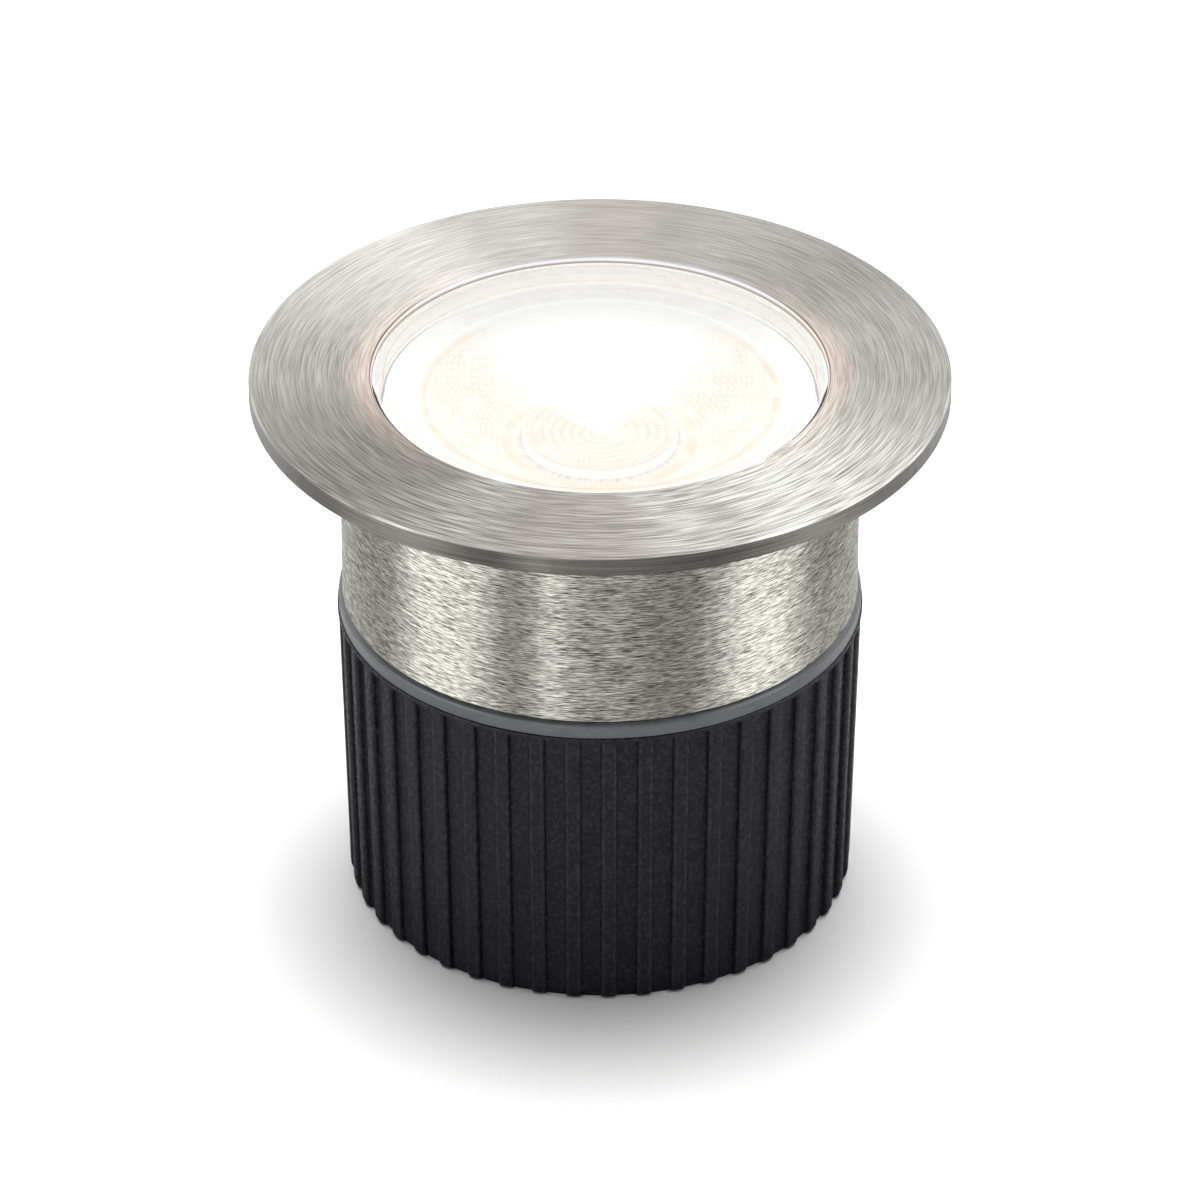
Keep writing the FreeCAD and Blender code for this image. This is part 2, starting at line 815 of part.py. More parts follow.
def driver_screws():
    """The screws that hold the driver board to its posts."""
    return stacked_pins("driver_screws", "post_place", [
        ("small_head", "driver_board_under - small_head_height", "driver_board_under"),
        ("small_screw", "driver_board_under", "driver_board_top + thread_depth"),
    ], "post_count")


def driver_capacitors():
    """Two round capacitors standing on the driver board."""
    body = new_body("driver_capacitors")
    sketch = new_sketch(body, "XY_Plane", "driver_board_top")
    for sign in (-1, 1):
        circle(sketch, "0 - capacitor_diameter", f"{sign} * capacitor_diameter * 0.56",
               "capacitor_diameter / 2")
    pad(body, sketch, "capacitor_height")
    return body


def driver_coil():
    """The wound coil: a waisted bobbin."""
    body = turned("driver_coil", [
        ("0", "driver_board_top"),
        ("coil_diameter / 2", "driver_board_top"),
        ("coil_diameter / 2", "driver_board_top + coil_height / 6"),
        ("coil_diameter * 0.42", "driver_board_top + coil_height / 6"),
        ("coil_diameter * 0.42", "driver_board_top + coil_height * 5 / 6"),
        ("coil_diameter / 2", "driver_board_top + coil_height * 5 / 6"),
        ("coil_diameter / 2", "driver_board_top + coil_height"),
        ("0", "driver_board_top + coil_height"),
    ])
    body.setExpression("Placement.Base.x", bound("coil_diameter * 0.45"))
    body.setExpression("Placement.Base.y", bound("0 - coil_diameter * 0.55"))
    return body


def board_block(label, length, width, height, across, up):
    """A rectangular component on the driver board."""
    block = doc.addObject("Part::Box", label)
    block.Label = label
    bind(block, Length=length, Width=width, Height=height)
    block.setExpression("Placement.Base.x", bound(f"({across}) - ({length}) / 2"))
    block.setExpression("Placement.Base.y", bound(f"({up}) - ({width}) / 2"))
    block.setExpression("Placement.Base.z", bound("driver_board_top"))
    return block


def driver_chip():
    """The driver's controller."""
    return board_block("driver_chip", "chip_case_length", "chip_case_width", "chip_case_height",
                       "0 - chip_case_length * 0.2", "0 - driver_board_radius * 0.64")


def terminal_block():
    """The block where the supply conductors are landed: a case with two wire entries."""
    case = board_block("terminal_case", "terminal_length", "terminal_width", "terminal_height",
                       "terminal_length * 0.75", "terminal_width * 0.75")
    entries = []
    for number, share in enumerate((0.25, 0.75), start=1):
        entry = doc.addObject("Part::Cylinder", f"terminal_entry_{number}")
        bind(entry, Radius="terminal_length * 0.15", Height="terminal_width / 2")
        entry.Placement.Rotation = FreeCAD.Rotation(V(1, 0, 0), -90)
        entry.setExpression("Placement.Base.x", bound(f"terminal_length * (0.25 + {share})"))
        entry.setExpression("Placement.Base.y", bound("terminal_width * 0.25 - 1"))
        entry.setExpression("Placement.Base.z", bound("driver_board_top + terminal_height * 0.4"))
        entries.append(entry)
    tools = doc.addObject("Part::MultiFuse", "terminal_entries")
    tools.Shapes = entries
    block = doc.addObject("Part::Cut", "terminal_block")
    block.Label = "terminal_block"
    block.Base = case
    block.Tool = tools
    return block


def lead_path(sign):
    """A lead's middle line: up from the driver board, through the web, and in to the LED board."""
    across, up = (value(text) for text in lead_point(sign))
    reach = math.hypot(across, up)
    inward = V(-across / reach, -up / reach, 0)
    bend = value("lead_bend")
    over = value("board_top + lead_diameter / 2")
    foot = V(across, up, value("driver_board_top"))
    below = V(across, up, over - bend)
    after = V(across, up, over) + inward * bend
    short = bend * (1 - math.sqrt(0.5))
    middle = V(across, up, over) + inward * short - V(0, 0, short)
    end = V(across, up, over) + inward * (reach - value("board_screw_place"))
    return Part.Wire([
        Part.LineSegment(foot, below).toShape(),
        Part.Arc(below, middle, after).toShape(),
        Part.LineSegment(after, end).toShape(),
    ])


def led_leads():
    """The two leads from the driver board to the LED board."""
    leads = []
    for sign in (-1, 1):
        path = lead_path(sign)
        start = path.Vertexes[0].Point
        section = Part.Wire(Part.Circle(start, V(0, 0, 1), value("lead_diameter / 2")).toShape())
        leads.append(path.makePipeShell([section], True, False))
    feature = doc.addObject("Part::Feature", "led_leads")
    feature.Label = "led_leads"
    feature.Shape = Part.makeCompound(leads)
    feature.Placement = FreeCAD.Placement()
    return feature


# ---------------------------------------------------------------- cable gland and breather

def gland_body():
    """The gland's body: thread through the cover, hexagon under it and a neck for the dome nut."""
    body = turned("gland_body", [
        ("cable_hole", "stub_end"),
        ("cable_hole", "neck_end + seal_length"),
        ("seal_outer", "neck_end + seal_length"),
        ("seal_outer", "neck_end"),
        ("gland_thread", "neck_end"),
        ("gland_thread", "hex_under"),
        ("gland_corner", "hex_under"),
        ("gland_corner", "washer_under"),
        ("gland_thread", "washer_under"),
        ("gland_thread", "stub_end"),
    ])
    cut_flats(body, "gland_across", "hex_under", "washer_under")
    return body


def gland_washer():
    """The sealing washer between the gland's hexagon and the cover."""
    return turned("gland_washer",
                  ring_section("gland_hole", "gland_across / 2", "washer_under", "cover_under"))


def gland_seal():
    """The rubber sleeve that grips the cable inside the neck."""
    return turned("gland_seal", ring_section("cable_radius", "seal_outer - edge_fit", "neck_end",
                                             "neck_end + seal_length - edge_fit"))


def gland_locknut():
    """The thin nut on the gland's thread inside the driver housing."""
    body = turned("gland_locknut", ring_section("gland_hole", "gland_corner", "cover_top", "locknut_top"))
    cut_flats(body, "gland_across", "cover_top", "locknut_top")
    return body


def gland_nut():
    """The dome nut that turns on the neck: hexagon above, dome with the cable's hole below."""
    body = turned("gland_nut", [
        ("gland_thread + nut_fit", "nut_top"),
        ("gland_thread + nut_fit", "nut_end + nut_end_wall"),
        ("cable_hole", "nut_end + nut_end_wall"),
        ("cable_hole", "nut_end"),
        ("gland_across / 2 - nut_dome", "nut_end"),
        ("gland_across / 2", "nut_end + nut_dome"),
        ("gland_across / 2", "nut_waist"),
        ("gland_corner", "nut_waist"),
        ("gland_corner", "nut_top"),
    ], arcs={4: "nut_dome"})
    cut_flats(body, "gland_across", "nut_waist", "nut_top")
    return body


def breather_vent():
    """The pressure breather screwed into the cover, beside the gland."""
    body = turned("breather_vent", [
        ("0", "cover_under - vent_height"),
        ("vent_radius - vent_height / 4", "cover_under - vent_height"),
        ("vent_radius", "cover_under - vent_height * 3 / 4"),
        ("vent_radius", "cover_under"),
        ("vent_stem", "cover_under"),
        ("vent_stem", "cover_top"),
        ("0", "cover_top"),
    ])
    body.setExpression("Placement.Base.y", bound("vent_place"))
    return body


# ---------------------------------------------------------------- document and files

def build_all():
    """Every sub-part, in the order in which the light is put together."""
    return [
        ground_canister(), rim_seal(),
        face_ring(), barrel_sleeve(), glass_lens(), glass_gasket(),
        optic_holder(), tir_optic(), chip_ring(), light_source(),
        led_board(), thermal_pad(), led_board_screws(),
        led_housing(), housing_o_rings(),
        flat_ring("middle_gasket", "driver_top", "web_under"), driver_housing(), centring_ring(),
        flat_ring("rear_gasket", "cover_top", "driver_under"), rear_cover(), cover_screws(),
        driver_board(), driver_posts(), driver_screws(), driver_capacitors(), driver_coil(), driver_chip(),
        terminal_block(), led_leads(),
        gland_body(), gland_washer(), gland_seal(), gland_locknut(), gland_nut(), breather_vent(),
    ]


def check(parts):
    """Stop unless every object computed and every sub-part is a valid solid."""
    for item in doc.Objects:
        if "Invalid" in item.State or "Error" in item.State:
            raise ValueError(f"{item.Name} failed: {item.State}")
    for part in parts:
        shape = part.Shape
        if shape.isNull() or not shape.isValid() or not shape.Solids:
            raise ValueError(f"{part.Label} has no valid solid")


make_sheet()
PARTS = build_all()
doc.recompute()
check(PARTS)
os.makedirs("parts", exist_ok=True)
for sub_part in PARTS:
    sub_part.Shape.exportStep(f"parts/{sub_part.Label}.step")
    print(f"{sub_part.Label}: {len(sub_part.Shape.Solids)} solid(s), {sub_part.Shape.Volume:.1f} mm3")
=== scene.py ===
"""Looks of the in-ground well light: the seen pieces as fine meshes, every finish, studio and camera."""

import json
import math

import bpy
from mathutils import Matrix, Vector


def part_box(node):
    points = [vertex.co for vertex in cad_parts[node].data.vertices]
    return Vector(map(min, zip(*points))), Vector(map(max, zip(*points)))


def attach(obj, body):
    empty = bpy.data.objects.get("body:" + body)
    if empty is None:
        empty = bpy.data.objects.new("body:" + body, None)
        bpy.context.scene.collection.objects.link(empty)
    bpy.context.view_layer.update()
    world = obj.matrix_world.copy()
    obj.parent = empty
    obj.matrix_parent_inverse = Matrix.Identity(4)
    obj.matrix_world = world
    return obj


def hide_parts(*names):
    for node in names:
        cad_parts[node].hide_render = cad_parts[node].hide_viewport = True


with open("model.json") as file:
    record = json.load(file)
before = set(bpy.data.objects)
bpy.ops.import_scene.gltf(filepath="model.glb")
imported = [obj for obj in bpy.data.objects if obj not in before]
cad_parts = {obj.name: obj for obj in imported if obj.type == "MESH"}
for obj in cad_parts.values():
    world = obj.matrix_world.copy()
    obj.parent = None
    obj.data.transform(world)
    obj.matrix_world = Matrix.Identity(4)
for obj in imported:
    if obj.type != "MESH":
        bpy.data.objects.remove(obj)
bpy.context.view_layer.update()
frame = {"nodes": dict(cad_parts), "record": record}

MM = 0.001
CREASE = 35.0  # degrees: edges that are sharper than this stay sharp


# ---------------------------------------------------------------- sizes, from the frame

def reach(node):
    """The outer radius of a round node."""
    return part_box(node)[1].x


def foot(node):
    """The lowest level of a node."""
    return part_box(node)[0].z


def head(node):
    """The highest level of a node."""
    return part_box(node)[1].z


FACE_RADIUS = reach("face_ring")
FACE_TOP = head("face_ring")
FLANGE_UNDER = foot("face_ring")
BARREL_RADIUS = reach("barrel_sleeve")
BARREL_FOOT = foot("barrel_sleeve")
BARREL_WALL = 1.2 * MM
WINDOW_LAND = 4.6 * MM
WINDOW_CHAMFER = 0.25 * MM
FLANGE_CHAMFER = 0.3 * MM
EDGE_BREAK = 0.12 * MM
WINDOW_RADIUS = BARREL_RADIUS - WINDOW_LAND
MOUTH_RADIUS = WINDOW_RADIUS + WINDOW_CHAMFER

GLASS_TOP = head("glass_lens")
GLASS_UNDER = foot("glass_lens")
GLASS_EDGE = reach("glass_lens")
GLASS_STEP = 2.9 * MM
GLASS_SHOULDER = GLASS_UNDER + GLASS_STEP
GLASS_BOSS = WINDOW_RADIUS - 0.15 * MM
GLASS_BEVEL = 0.35 * MM
GLASS_BEVEL_WIDTH = 1.6 * MM
GLASS_BEVEL_LAND = 0.1 * MM
GASKET_BORE = WINDOW_RADIUS - 1.6 * MM
GASKET_MOUTH = WINDOW_RADIUS + 0.45 * MM

HOLDER_RADIUS = reach("optic_holder")
HOLDER_WALL = 1.5 * MM
OPTIC_RADIUS = reach("tir_optic")
OPTIC_TOP = head("tir_optic")
OPTIC_BASE = foot("tir_optic")
OPTIC_RIM = 1.5 * MM
HOLDER_BORE = OPTIC_RADIUS - 0.8 * MM
OPTIC_SHOULDER = HOLDER_BORE - 1.0 * MM
OPTIC_FOOT = 13.8 * MM
POCKET_RADIUS = 11.0 * MM
POCKET_DEPTH = 3.3 * MM
POCKET_DOME = 1.4 * MM
POCKET_ROWS = 8
FLANK_BOW = 40.0 * MM
FACETS_ROUND = 72
FACET_ROWS = 18
FACET_GRID = 4
FACET_SWELL = 0.16 * MM

RIM_TOP = head("rim_seal")
RIM_RADIUS = reach("rim_seal")
RIM_ROUND = 0.9 * MM
CAN_RADIUS = reach("ground_canister")
CAN_MOUTH = foot("rim_seal")
TONGUE_TOP = head("ground_canister")
LEDGE_HEIGHT = 0.6 * MM
LEDGE_OVERHANG = 0.15 * MM
RIB_DEPTH = 0.9 * MM
CREST_TOP = CAN_RADIUS - LEDGE_OVERHANG
ROOT_TOP = CREST_TOP - RIB_DEPTH
TONGUE_WALL = 1.0 * MM
TONGUE_OUTER = CREST_TOP - TONGUE_WALL
TONGUE_INNER = TONGUE_OUTER - TONGUE_WALL
DRAFT = math.tan(math.radians(1.4))
RIB_COUNT = 45
RIB_WIDTH = 2.2 * MM
RIB_FLANK = 0.12 * MM
RIB_ROUND = 0.62 * MM
RIB_END = 1.5 * MM
CAN_WALL = 2.0 * MM
CAN_FLOOR = 2.8 * MM
BASE_ROUND = 0.25 * MM
BASE_RECESS = 0.8 * MM
BASE_RING = 3.0 * MM
ENTRY_RADIUS = 10.2 * MM
COLLAR_RADIUS = ENTRY_RADIUS + 2.0 * MM
COLLAR_TOP = CAN_FLOOR + 1.5 * MM
DRAIN_COUNT = 4
DRAIN_RADIUS = 2.5 * MM


# ---------------------------------------------------------------- mesh helpers

def rounded(corners, steps=4):
    """The points of an outline of (radius, level, fillet) corners; a fillet becomes a short arc."""
    points = []
    for index, (radius, level, *fillet) in enumerate(corners):
        here = Vector((radius, level))
        if not fillet:
            points.append(tuple(here))
            continue
        back = (Vector(corners[index - 1][:2]) - here).normalized()
        ahead = (Vector(corners[(index + 1) % len(corners)][:2]) - here).normalized()
        half = back.angle(ahead) / 2
        centre = here + (back + ahead).normalized() * fillet[0] / math.sin(half)
        start = here + back * fillet[0] / math.tan(half) - centre
        end = here + ahead * fillet[0] / math.tan(half) - centre
        for step in range(steps + 1):
            points.append(tuple(centre + start.lerp(end, step / steps).normalized() * fillet[0]))
    return points


def build(name, vertices, faces, crease=CREASE):
    """A mesh object in the part's frame, smooth but for edges sharper than the crease angle."""
    mesh = bpy.data.meshes.new(name)
    mesh.from_pydata(vertices, [], faces)
    mesh.validate()
    mesh.shade_smooth()
    mesh.set_sharp_from_angle(angle=math.radians(crease))
    piece = bpy.data.objects.new(name, mesh)
    bpy.context.scene.collection.objects.link(piece)
    return piece


def spin(name, outline, section, crease=CREASE):
    """Turns a closed outline round the axis. Its points are (radius, level, swell), and the section's
    points are (angle, rise): each ring's radius grows by swell times rise."""
    vertices, rings = [], []
    for radius, level, *swell in outline:
        share = swell[0] if swell else 0.0
        if radius == 0.0:
            rings.append([len(vertices)] * len(section))
            vertices.append((0.0, 0.0, level))
            continue
        rings.append(list(range(len(vertices), len(vertices) + len(section))))
        for angle, rise in section:
            span = radius + share * rise
            vertices.append((span * math.cos(angle), span * math.sin(angle), level))
    faces = []
    for index, lower in enumerate(rings):
        upper = rings[(index + 1) % len(rings)]
        for side in range(len(section)):
            after = (side + 1) % len(section)
            corners = [lower[side], lower[after], upper[after], upper[side]]
            face = [corner for place, corner in enumerate(corners) if corner not in corners[:place]]
            if len(face) > 2:
                faces.append(face)
    return build(name, vertices, faces, crease)


def circle(sides):
    """A plain round section."""
    return [(math.tau * side / sides, 0.0) for side in range(sides)]


def lathe(name, corners, sides=360, steps=4):
    """A turned piece: its outline runs anticlockwise, radius to the right and level upwards."""
    return spin(name, rounded(corners, steps), circle(sides))


def settle(piece, body, node, *materials):
    """Puts a piece on its body, in place of its CAD node, with these materials.
    Its normals follow its larger faces, so flat glass and steel beside a rounded edge mirror flat."""
    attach(piece, body)
    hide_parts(node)
    for material in materials:
        piece.data.materials.append(material)
    even = piece.modifiers.new("even_normals", "WEIGHTED_NORMAL")
    even.keep_sharp = True


def drill(piece, centres, radius, under, over, sides=48):
    """Cuts round holes through a piece with a boolean, and keeps the result as its mesh."""
    vertices, faces = [], []
    for across, along in centres:
        first = len(vertices)
        for level in (under, over):
            for side in range(sides):
                angle = math.tau * side / sides
                east, north = radius * math.cos(angle), radius * math.sin(angle)
                vertices.append((across + east, along + north, level))
        lower = list(range(first, first + sides))
        upper = list(range(first + sides, first + 2 * sides))
        faces.append(lower[::-1])
        faces.append(upper)
        for side in range(sides):
            after = (side + 1) % sides
            faces.append((lower[side], lower[after], upper[after], upper[side]))
    cutter = build(piece.name + "_cutter", vertices, faces)
    cut = piece.modifiers.new("holes", "BOOLEAN")
    cut.operation = "DIFFERENCE"
    cut.solver = "EXACT"
    cut.object = cutter
    bpy.context.view_layer.update()
    shape = bpy.data.meshes.new_from_object(piece.evaluated_get(bpy.context.evaluated_depsgraph_get()))
    piece.modifiers.clear()
    piece.data = shape
    shape.set_sharp_from_angle(angle=math.radians(CREASE))
    bpy.data.objects.remove(cutter)


# ---------------------------------------------------------------- material helpers

class Nodes:
    """A node tree being put together. Each call adds nodes and returns an output socket."""

    def __init__(self, owner):
        owner.use_nodes = True
        self.tree = owner.node_tree
        self.tree.nodes.clear()

    def add(self, kind, inputs=None, **settings):
        """A new node, with these settings and with its inputs fed."""
        node = self.tree.nodes.new("ShaderNode" + kind)
        for key, setting in settings.items():
            setattr(node, key, setting)
        for key, source in (inputs or {}).items():
            self.feed(node.inputs[key], source)
        return node

    def feed(self, socket, source):
        """Links an output socket to this input, or sets its value."""
        if isinstance(source, bpy.types.NodeSocket):
            self.tree.links.new(source, socket)
        elif isinstance(source, tuple) and len(source) == 3 and socket.type == "RGBA":
            socket.default_value = (*source, 1.0)
        else:
            socket.default_value = source

    def math(self, operation, first, second=0.0, third=0.0):
        inputs = {0: first, 1: second, 2: third}
        return self.add("Math", inputs, operation=operation).outputs[0]

    def times(self, first, second):
        return self.math("MULTIPLY", first, second)

    def plus(self, first, second):
        return self.math("ADD", first, second)

    def absolute(self, source):
        return self.math("ABSOLUTE", source)

    def between(self, factor, first, second):
        """A number from the first to the second, by a factor from 0 to 1."""
        return self.add("Mix", {0: factor, 2: first, 3: second}).outputs[0]

    def parts(self, vector):
        return self.add("SeparateXYZ", {0: vector}).outputs

    def vector(self, across, along, up):
        return self.add("CombineXYZ", {0: across, 1: along, 2: up}).outputs[0]

    def range(self, source, low, high, to_low=0.0, to_high=1.0, kind="SMOOTHSTEP"):
        """Maps low..high to the other two values, with soft ends, and holds them beyond."""
        inputs = {"Value": source, "From Min": low, "From Max": high, "To Min": to_low, "To Max": to_high}
        return self.add("MapRange", inputs, interpolation_type=kind).outputs[0]


class Paint(Nodes):
    """A node material for a piece, round a principled shader."""

    def __init__(self, name, **sockets):
        self.material = bpy.data.materials.new(name)
        super().__init__(self.material)
        self.shader = self.add("BsdfPrincipled")
        self.set(**sockets)
        self.add("OutputMaterial", {"Surface": self.shader.outputs[0]})

    def set(self, **sockets):
        """Sets the shader's own sockets, named with underscores for spaces."""
        for key, source in sockets.items():
            self.feed(self.shader.inputs[key.replace("_", " ")], source)

    def place(self):
        """The point on the piece, in the part's frame at rest."""
        return self.add("TexCoord").outputs["Object"]

    def noise(self, where, scale, detail=2.0, roughness=0.5):
        inputs = {"Vector": where, "Scale": scale, "Detail": detail, "Roughness": roughness}
        return self.add("TexNoise", inputs).outputs[0]

    def cells(self, where, scale):
        return self.add("TexVoronoi", {"Vector": where, "Scale": scale}).outputs[0]

    def ramp(self, factor, *stops):
        """A colour ramp of (position, colour) stops."""
        node = self.add("ValToRGB", {0: factor})
        band = node.color_ramp
        while len(band.elements) < len(stops):
            band.elements.new(0.5)
        for element, (position, colour) in zip(band.elements, stops):
            element.position = position
            element.color = (*colour, 1.0)
        return node.outputs[0]

    def mix(self, factor, first, second):
        """A colour from the first to the second, by a factor from 0 to 1."""
        node = self.add("Mix", data_type="RGBA")
        self.feed(node.inputs[0], factor)
        self.feed(node.inputs[6], first)
        self.feed(node.inputs[7], second)
        return node.outputs[2]

    def bump(self, height, distance):
        return self.add("Bump", {"Height": height, "Distance": distance}).outputs[0]

    def around(self):
        """The unit direction away from the axis, the distance from it, and the level."""
        across, along, up = self.parts(self.place())
        square = self.plus(self.times(across, across), self.times(along, along))
        span = self.math("SQRT", self.math("MAXIMUM", square, 1e-12))
        return self.math("DIVIDE", across, span), self.math("DIVIDE", along, span), span, up

    def strokes(self, run, radius, length, width, detail=2.0):
        """Noise drawn out round the axis: strokes of this length at this radius, and of this width
        along the run, which is the distance from the axis or the level."""
        east, north, _, _ = self.around()
        turn = radius / length
        where = self.vector(
            self.times(east, turn),
            self.times(north, turn),
            self.times(run, 1.0 / width),
        )
        return self.noise(where, 1.0, detail)

    def brush_tangent(self):
        """Lays the gloss across strokes that run round the axis."""
        tangent = self.add("Tangent", direction_type="RADIAL", axis="Z").outputs[0]
        self.set(Tangent=tangent, Anisotropic_Rotation=0.25)


# ---------------------------------------------------------------- finishes of the seen pieces

# Painted shade: a dark steel colour laid over the flange in bands, standing for dim reflections.
PAINTED_SHADE_STEEL = (0.24, 0.222, 0.195)


def flange_steel():
    """Stainless steel brushed in long fine rings. Painted shade darkens it in bands at the front, the rear
    and the front left; its strokes are painted with more contrast at the front, as glints; and a painted
    warm glow beside the window stands for the lit window's light."""
    paint = Paint("flange_steel", Metallic=1.0, Anisotropic=0.92)
    east, north, span, _ = paint.around()
    fine = paint.strokes(span, FACE_RADIUS, 6.0 * MM, 0.11 * MM, 1.0)
    broad = paint.strokes(span, FACE_RADIUS, 9.0 * MM, 0.17 * MM, 1.0)
    cloud = paint.noise(paint.place(), 60.0, 2.0)
    grain = paint.plus(paint.times(fine, 0.5), paint.times(broad, 0.5))
    plain = paint.ramp(grain, (0.36, (0.45, 0.438, 0.41)), (0.5, (0.58, 0.565, 0.533)),
                       (0.64, (0.68, 0.665, 0.635)))
    # Painted glints: at the front the strokes get darker darks and brighter lights.
    front_glint_strokes = paint.ramp(grain, (0.39, (0.22, 0.21, 0.187)), (0.5, (0.56, 0.545, 0.513)),
                      (0.61, (0.92, 0.905, 0.865)))
    steel = paint.mix(paint.range(north, -0.1, -0.8, 0.3, 1.0), plain, front_glint_strokes)
    steel = paint.mix(paint.times(cloud, 0.1), steel, (0.42, 0.4, 0.37))
    # Painted shade: the steel is darkened towards the front left.
    front_left_shade = paint.plus(paint.times(east, -0.848), paint.times(north, -0.53))
    steel = paint.mix(paint.range(front_left_shade, 0.84, 0.985, 0.0, 0.45), steel, PAINTED_SHADE_STEEL)
    # Painted shade: darker bands at the front and the rear, stronger at the front.
    off_band = paint.absolute(paint.math("MULTIPLY_ADD", north, -0.09, east))
    band = paint.times(paint.range(off_band, 0.12, 0.38, 0.62, 0.0),
                       paint.range(north, -1.0, 1.0, 1.0, 0.78))
    steel = paint.mix(band, steel, PAINTED_SHADE_STEEL)
    # Painted glow: warm emission near the bore, strongest at the left and the right, standing for the
    # window's light on the steel.
    beside = paint.math("POWER", paint.absolute(east), 5.0)
    near = paint.range(span, MOUTH_RADIUS, MOUTH_RADIUS + 6.5 * MM, 1.0, 0.0)
    glow = paint.times(paint.math("POWER", near, 2.0), paint.plus(beside, 0.03))
    paint.set(
        Base_Color=steel,
        Roughness=paint.range(grain, 0.3, 0.7, 0.5, 0.4),
        Normal=paint.bump(grain, 0.004 * MM),
        Emission_Color=(1.0, 0.66, 0.47),
        Emission_Strength=paint.times(glow, 0.3),
    )
    paint.brush_tangent()
    return paint.material


def edge_steel():
    """The flange's turned edge: duller, with fine lines round it and faint handling marks, and a painted
    highlight that makes it paler at both sides."""
    paint = Paint("edge_steel", Metallic=1.0, Anisotropic=0.9)
    east, _, _, up = paint.around()
    lines = paint.strokes(up, FACE_RADIUS, 14.0 * MM, 0.16 * MM)
    marks = paint.noise(paint.place(), 420.0, 3.0, 0.55)
    steel = paint.ramp(lines, (0.36, (0.15, 0.143, 0.128)), (0.64, (0.26, 0.25, 0.228)))
    # Painted highlight: the edge is paler towards the left and the right.
    sides = paint.range(paint.absolute(east), 0.72, 0.94, 0.0, 0.8)
    steel = paint.mix(sides, steel, (0.5, 0.495, 0.48))
    paint.set(
        Base_Color=paint.mix(paint.range(marks, 0.5, 0.8, 0.0, 0.4), steel, (0.14, 0.133, 0.12)),
        Roughness=paint.range(lines, 0.3, 0.7, 0.36, 0.44),
        Normal=paint.bump(lines, 0.003 * MM),
    )
    paint.brush_tangent()
    return paint.material


def bore_steel():
    """The window's bore: a dark brown for the painted shade in its gap, a painted glow where it faces the
    front for the lamp's light, and a painted highlight on its chamfer at the rear.
    """
    paint = Paint("bore_steel", Metallic=1.0)
    _, north, span, up = paint.around()
    lines = paint.strokes(up, WINDOW_RADIUS, 8.0 * MM, 0.07 * MM)
    # Painted glow: the wall facing the front glows as if lit by the lamp; the rear chamfer gets a painted
    # highlight.
    lit = paint.range(north, -1.0, -0.7)
    far = paint.range(north, 0.3, 0.9)
    above = paint.range(up, GLASS_TOP - 0.1 * MM, GLASS_TOP)
    chamfer = paint.range(span, WINDOW_RADIUS + 0.03 * MM, WINDOW_RADIUS + 0.1 * MM)
    wall = paint.mix(far, (1.0, 0.95, 0.88), (0.9, 0.92, 0.98))
    wall = paint.mix(above, (0.72, 0.62, 0.52), wall)
    wall_light = paint.times(lit, paint.range(above, 0.0, 1.0, 0.6, 0.92))
    # Painted shade: the steel's base is a dark brown for the shade in the gap.
    paint.set(
        Base_Color=paint.ramp(lines, (0.35, (0.15, 0.12, 0.1)), (0.65, (0.22, 0.18, 0.15))),
        Roughness=paint.range(lines, 0.3, 0.7, 0.25, 0.4),
        Emission_Color=paint.mix(chamfer, wall, (0.66, 0.66, 0.7)),
        Emission_Strength=paint.between(chamfer, wall_light, paint.times(far, 0.8)),
    )
    return paint.material


def barrel_steel():
    """Stainless tube with coarse, short, high-contrast strokes round it."""
    paint = Paint("barrel_steel", Metallic=1.0, Anisotropic=0.92)
    _, _, _, up = paint.around()
    short = paint.strokes(up, BARREL_RADIUS, 1.3 * MM, 0.07 * MM, 1.0)
    long = paint.strokes(up, BARREL_RADIUS, 3.2 * MM, 0.09 * MM, 1.0)
    grain = paint.plus(paint.times(short, 0.58), paint.times(long, 0.42))
    paint.set(
        Base_Color=paint.ramp(grain, (0.39, (0.09, 0.086, 0.07)), (0.5, (0.5, 0.49, 0.44)),
                              (0.61, (0.97, 0.96, 0.88))),
        Roughness=paint.range(grain, 0.3, 0.7, 0.52, 0.42),
        Normal=paint.bump(grain, 0.009 * MM),
    )
    paint.brush_tangent()
    return paint.material


def seal_rubber():
    """The satin grey rim seal, with a trace of dust and a fine mould skin, and a painted highlight that
    makes it paler at both sides.
    """
    paint = Paint("seal_rubber")
    where = paint.place()
    skin = paint.noise(where, 5200.0, 2.0)
    dust = paint.noise(where, 420.0, 4.0, 0.6)
    east, _, _, _ = paint.around()
    rubber = paint.ramp(dust, (0.35, (0.118, 0.121, 0.128)), (0.7, (0.15, 0.153, 0.162)))
    # Painted highlight: paler towards the left and the right, where the rounded top catches light at a
    # graze.
    sides = paint.range(paint.absolute(east), 0.75, 0.98)
    paint.set(
        Base_Color=paint.mix(sides, rubber, (0.25, 0.255, 0.265)),
        Roughness=paint.range(dust, 0.3, 0.7, 0.34, 0.5),
        Normal=paint.bump(skin, 0.006 * MM),
    )
    return paint.material


